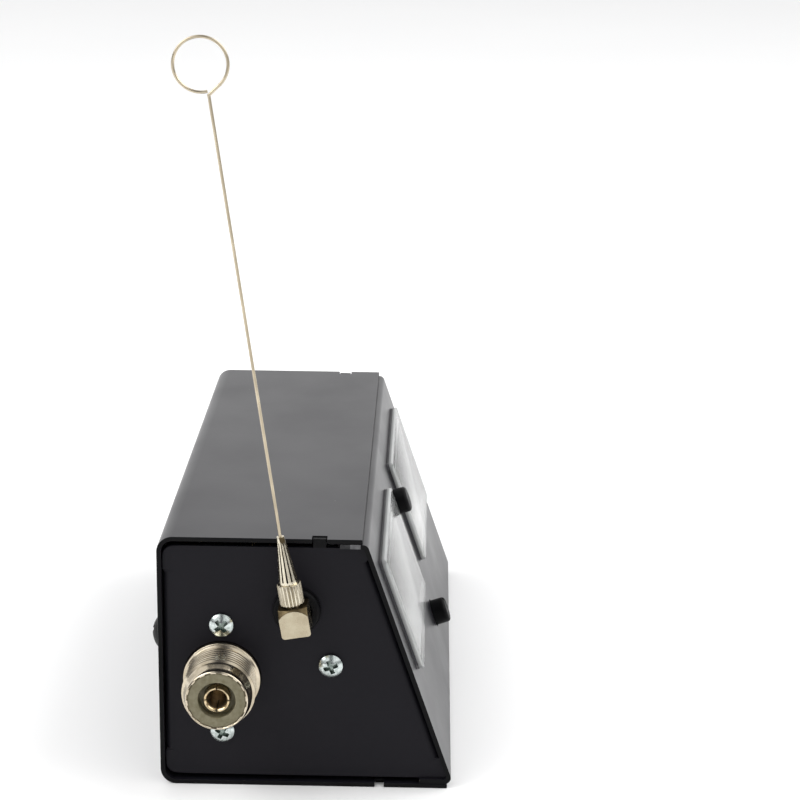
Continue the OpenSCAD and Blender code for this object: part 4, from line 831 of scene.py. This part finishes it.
for side, outer_marks, fine_shares, red_from in (
        ("left", (("1", 0), ("1.5", 0.2), ("2", 1 / 3), ("3", 0.5), ("5", 2 / 3), ("10", 0.818)),
         (0.05, 0.1, 0.15, 0.26, 0.42, 0.58, 0.75, 0.9), 0.5),
        ("right", (("0", 0), ("1", 0.316), ("2", 0.447), ("5", 0.707), ("10", 1)),
         (0.16, 0.22, 0.27, 0.38, 0.55, 0.63, 0.77, 0.84, 0.89, 0.95), 0.84)):
    place = dial_place(side)
    red_start = (2 * red_from - 1) * SWEEP
    tenths = [at_angle(place, count / 10) for count in range(11)]
    black = [(arc(OUTER_R, OUTER_W, -SWEEP, red_start), [place]),
             (arc(INNER_R, INNER_W, -SWEEP, SWEEP), [place]),
             (tick(OUTER_R, length=1.5, width=OUTER_W),
              [at_angle(place, share) for _, share in outer_marks]),
             (tick(OUTER_R, length=0.9, width=0.15),
              [at_angle(place, share) for share in fine_shares]),
             (tick(INNER_R - 1.0, length=1.0, width=INNER_W), tenths[::2]),
             (tick(INNER_R - 0.6, length=0.6, width=0.13), tenths[1::2])]
    for figures, share in outer_marks:
        above = Matrix.Translation((0, OUTER_FIGURES_R, INK_T / 2))
        black.append((number(figures, OUTER_FIGURES_H), [at_angle(place, share) @ above]))
    for count in range(0, 11, 2):
        below = Matrix.Translation((0, INNER_FIGURES_R, INK_T / 2))
        black.append((number(str(count), INNER_FIGURES_H), [tenths[count] @ below]))
    piece(joined(*black), side + "_dial_print", ink)
    piece(joined((arc(OUTER_R, RED_W, red_start, SWEEP), [place])),
          side + "_dial_red_zone", red_ink)

# Hook-up wires
# Thin copper leads in red plastic sleeves, soldered between the coupler, the controls and the
# tags of the meters.
red_sleeve = finish("red_sleeve", [(0.42, 0.05, 0.04), (0.34, 0.04, 0.03)], patch=3, grain=0.3,
                    rough=(0.4, 0.55), depth=0.006)
nodes["hookup_wires"].data.materials[0] = red_sleeve

# Floor, light and camera
# A pale floor, a bright room with two soft boxes above, darker walls at the sides and behind the
# camera and a darker strip of ceiling over it, and the photograph's view.
floor_form = bmesh.new()
bmesh.ops.create_grid(floor_form, x_segments=1, y_segments=1, size=6.0)
floor_mesh = bpy.data.meshes.new("floor")
floor_form.to_mesh(floor_mesh)
floor_form.free()
floor_mesh.materials.append(
    finish("floor_paper", [(0.93, 0.93, 0.93), (0.92, 0.92, 0.92)], patch=300, grain=2,
           rough=(0.6, 0.7), depth=0.01))
floor = bpy.data.objects.new("floor", floor_mesh)
bpy.context.scene.collection.objects.link(floor)

world = bpy.data.worlds.new("studio")
bpy.context.scene.world = world
world.use_nodes = True
room = world.node_tree
room.nodes["Background"].inputs["Strength"].default_value = 1.1
toward = room.nodes.new("ShaderNodeTexCoord")
parts = room.nodes.new("ShaderNodeSeparateXYZ")
aside = room.nodes.new("ShaderNodeMath")
aside.operation = "ABSOLUTE"


def eased(start, end, low=0.0, high=1.0):
    """A node of the room that eases from low to high between two values."""
    ramp = room.nodes.new("ShaderNodeMapRange")
    ramp.interpolation_type = "SMOOTHSTEP"
    for title, value in (("From Min", start), ("From Max", end), ("To Min", low), ("To Max", high)):
        ramp.inputs[title].default_value = value
    return ramp


beside = eased(0.06, 0.32)
raised = eased(0.12, 0.32, low=0.15)
behind = room.nodes.new("ShaderNodeMath")
behind.operation = "MULTIPLY"
beyond = eased(0.15, 0.6)
lit = room.nodes.new("ShaderNodeMath")
lit.operation = "MAXIMUM"
sideways = eased(0.80, 0.93, low=1.0, high=0.3)
shared = room.nodes.new("ShaderNodeMath")
shared.operation = "MULTIPLY"
wall = room.nodes.new("ShaderNodeMix")
wall.data_type = "RGBA"
wall.inputs["A"].default_value = (0.10, 0.10, 0.11, 1)
wall.inputs["B"].default_value = (1, 1, 1, 1)
for source, target in (
        (toward.outputs["Generated"], parts.inputs["Vector"]),
        (parts.outputs["Y"], aside.inputs[0]),
        (aside.outputs["Value"], beside.inputs["Value"]),
        (parts.outputs["X"], beyond.inputs["Value"]),
        (parts.outputs["Z"], raised.inputs["Value"]),
        (beside.outputs["Result"], behind.inputs[0]),
        (raised.outputs["Result"], behind.inputs[1]),
        (behind.outputs["Value"], lit.inputs[0]),
        (beyond.outputs["Result"], lit.inputs[1]),
        (aside.outputs["Value"], sideways.inputs["Value"]),
        (lit.outputs["Value"], shared.inputs[0]),
        (sideways.outputs["Result"], shared.inputs[1]),
        (shared.outputs["Value"], wall.inputs["Factor"]),
        (wall.outputs["Result"], room.nodes["Background"].inputs["Color"])):
    room.links.new(source, target)
bpy.context.scene.view_settings.view_transform = "Standard"


def soft_light(name, place, aim, size, power):
    """A square soft box that points at a spot on the object."""
    lamp = bpy.data.lights.new(name, "AREA")
    lamp.shape = "SQUARE"
    lamp.size = size
    lamp.energy = power
    made = bpy.data.objects.new(name, lamp)
    made.location = place
    made.rotation_mode = "QUATERNION"
    made.rotation_quaternion = (Vector(aim) - Vector(place)).to_track_quat("-Z", "Y")
    bpy.context.scene.collection.objects.link(made)


for name, place in (("back_box", (-0.3, 0.9, 0.9)), ("front_box", (0.0, -0.9, 0.9))):
    soft_light(name, place, aim=(0, 0, 0.03), size=1.0, power=9)

FOCAL_PX, FRAME_PX, SENSOR = 2133.0, 800, 36.0
TILT, HEADING, ROLL = math.radians(16.216), math.radians(0.781), math.radians(0.727)
EYE = Vector((-497.0, -25.2, 214.3)) * MM
ahead = Vector((math.cos(HEADING) * math.cos(TILT), math.sin(HEADING) * math.cos(TILT), -math.sin(TILT)))
level = ahead.cross(Vector((0, 0, 1))).normalized()
upright = level.cross(ahead)
right = math.cos(ROLL) * level + math.sin(ROLL) * upright
up = math.cos(ROLL) * upright - math.sin(ROLL) * level
lens = bpy.data.cameras.new("camera")
lens.sensor_width = SENSOR
lens.lens = FOCAL_PX * SENSOR / FRAME_PX
lens.clip_start, lens.clip_end = 0.01, 20
camera = bpy.data.objects.new("camera", lens)
camera.matrix_world = Matrix.Translation(EYE) @ Matrix((right, up, -ahead)).transposed().to_4x4()
bpy.context.scene.collection.objects.link(camera)
bpy.context.scene.camera = camera
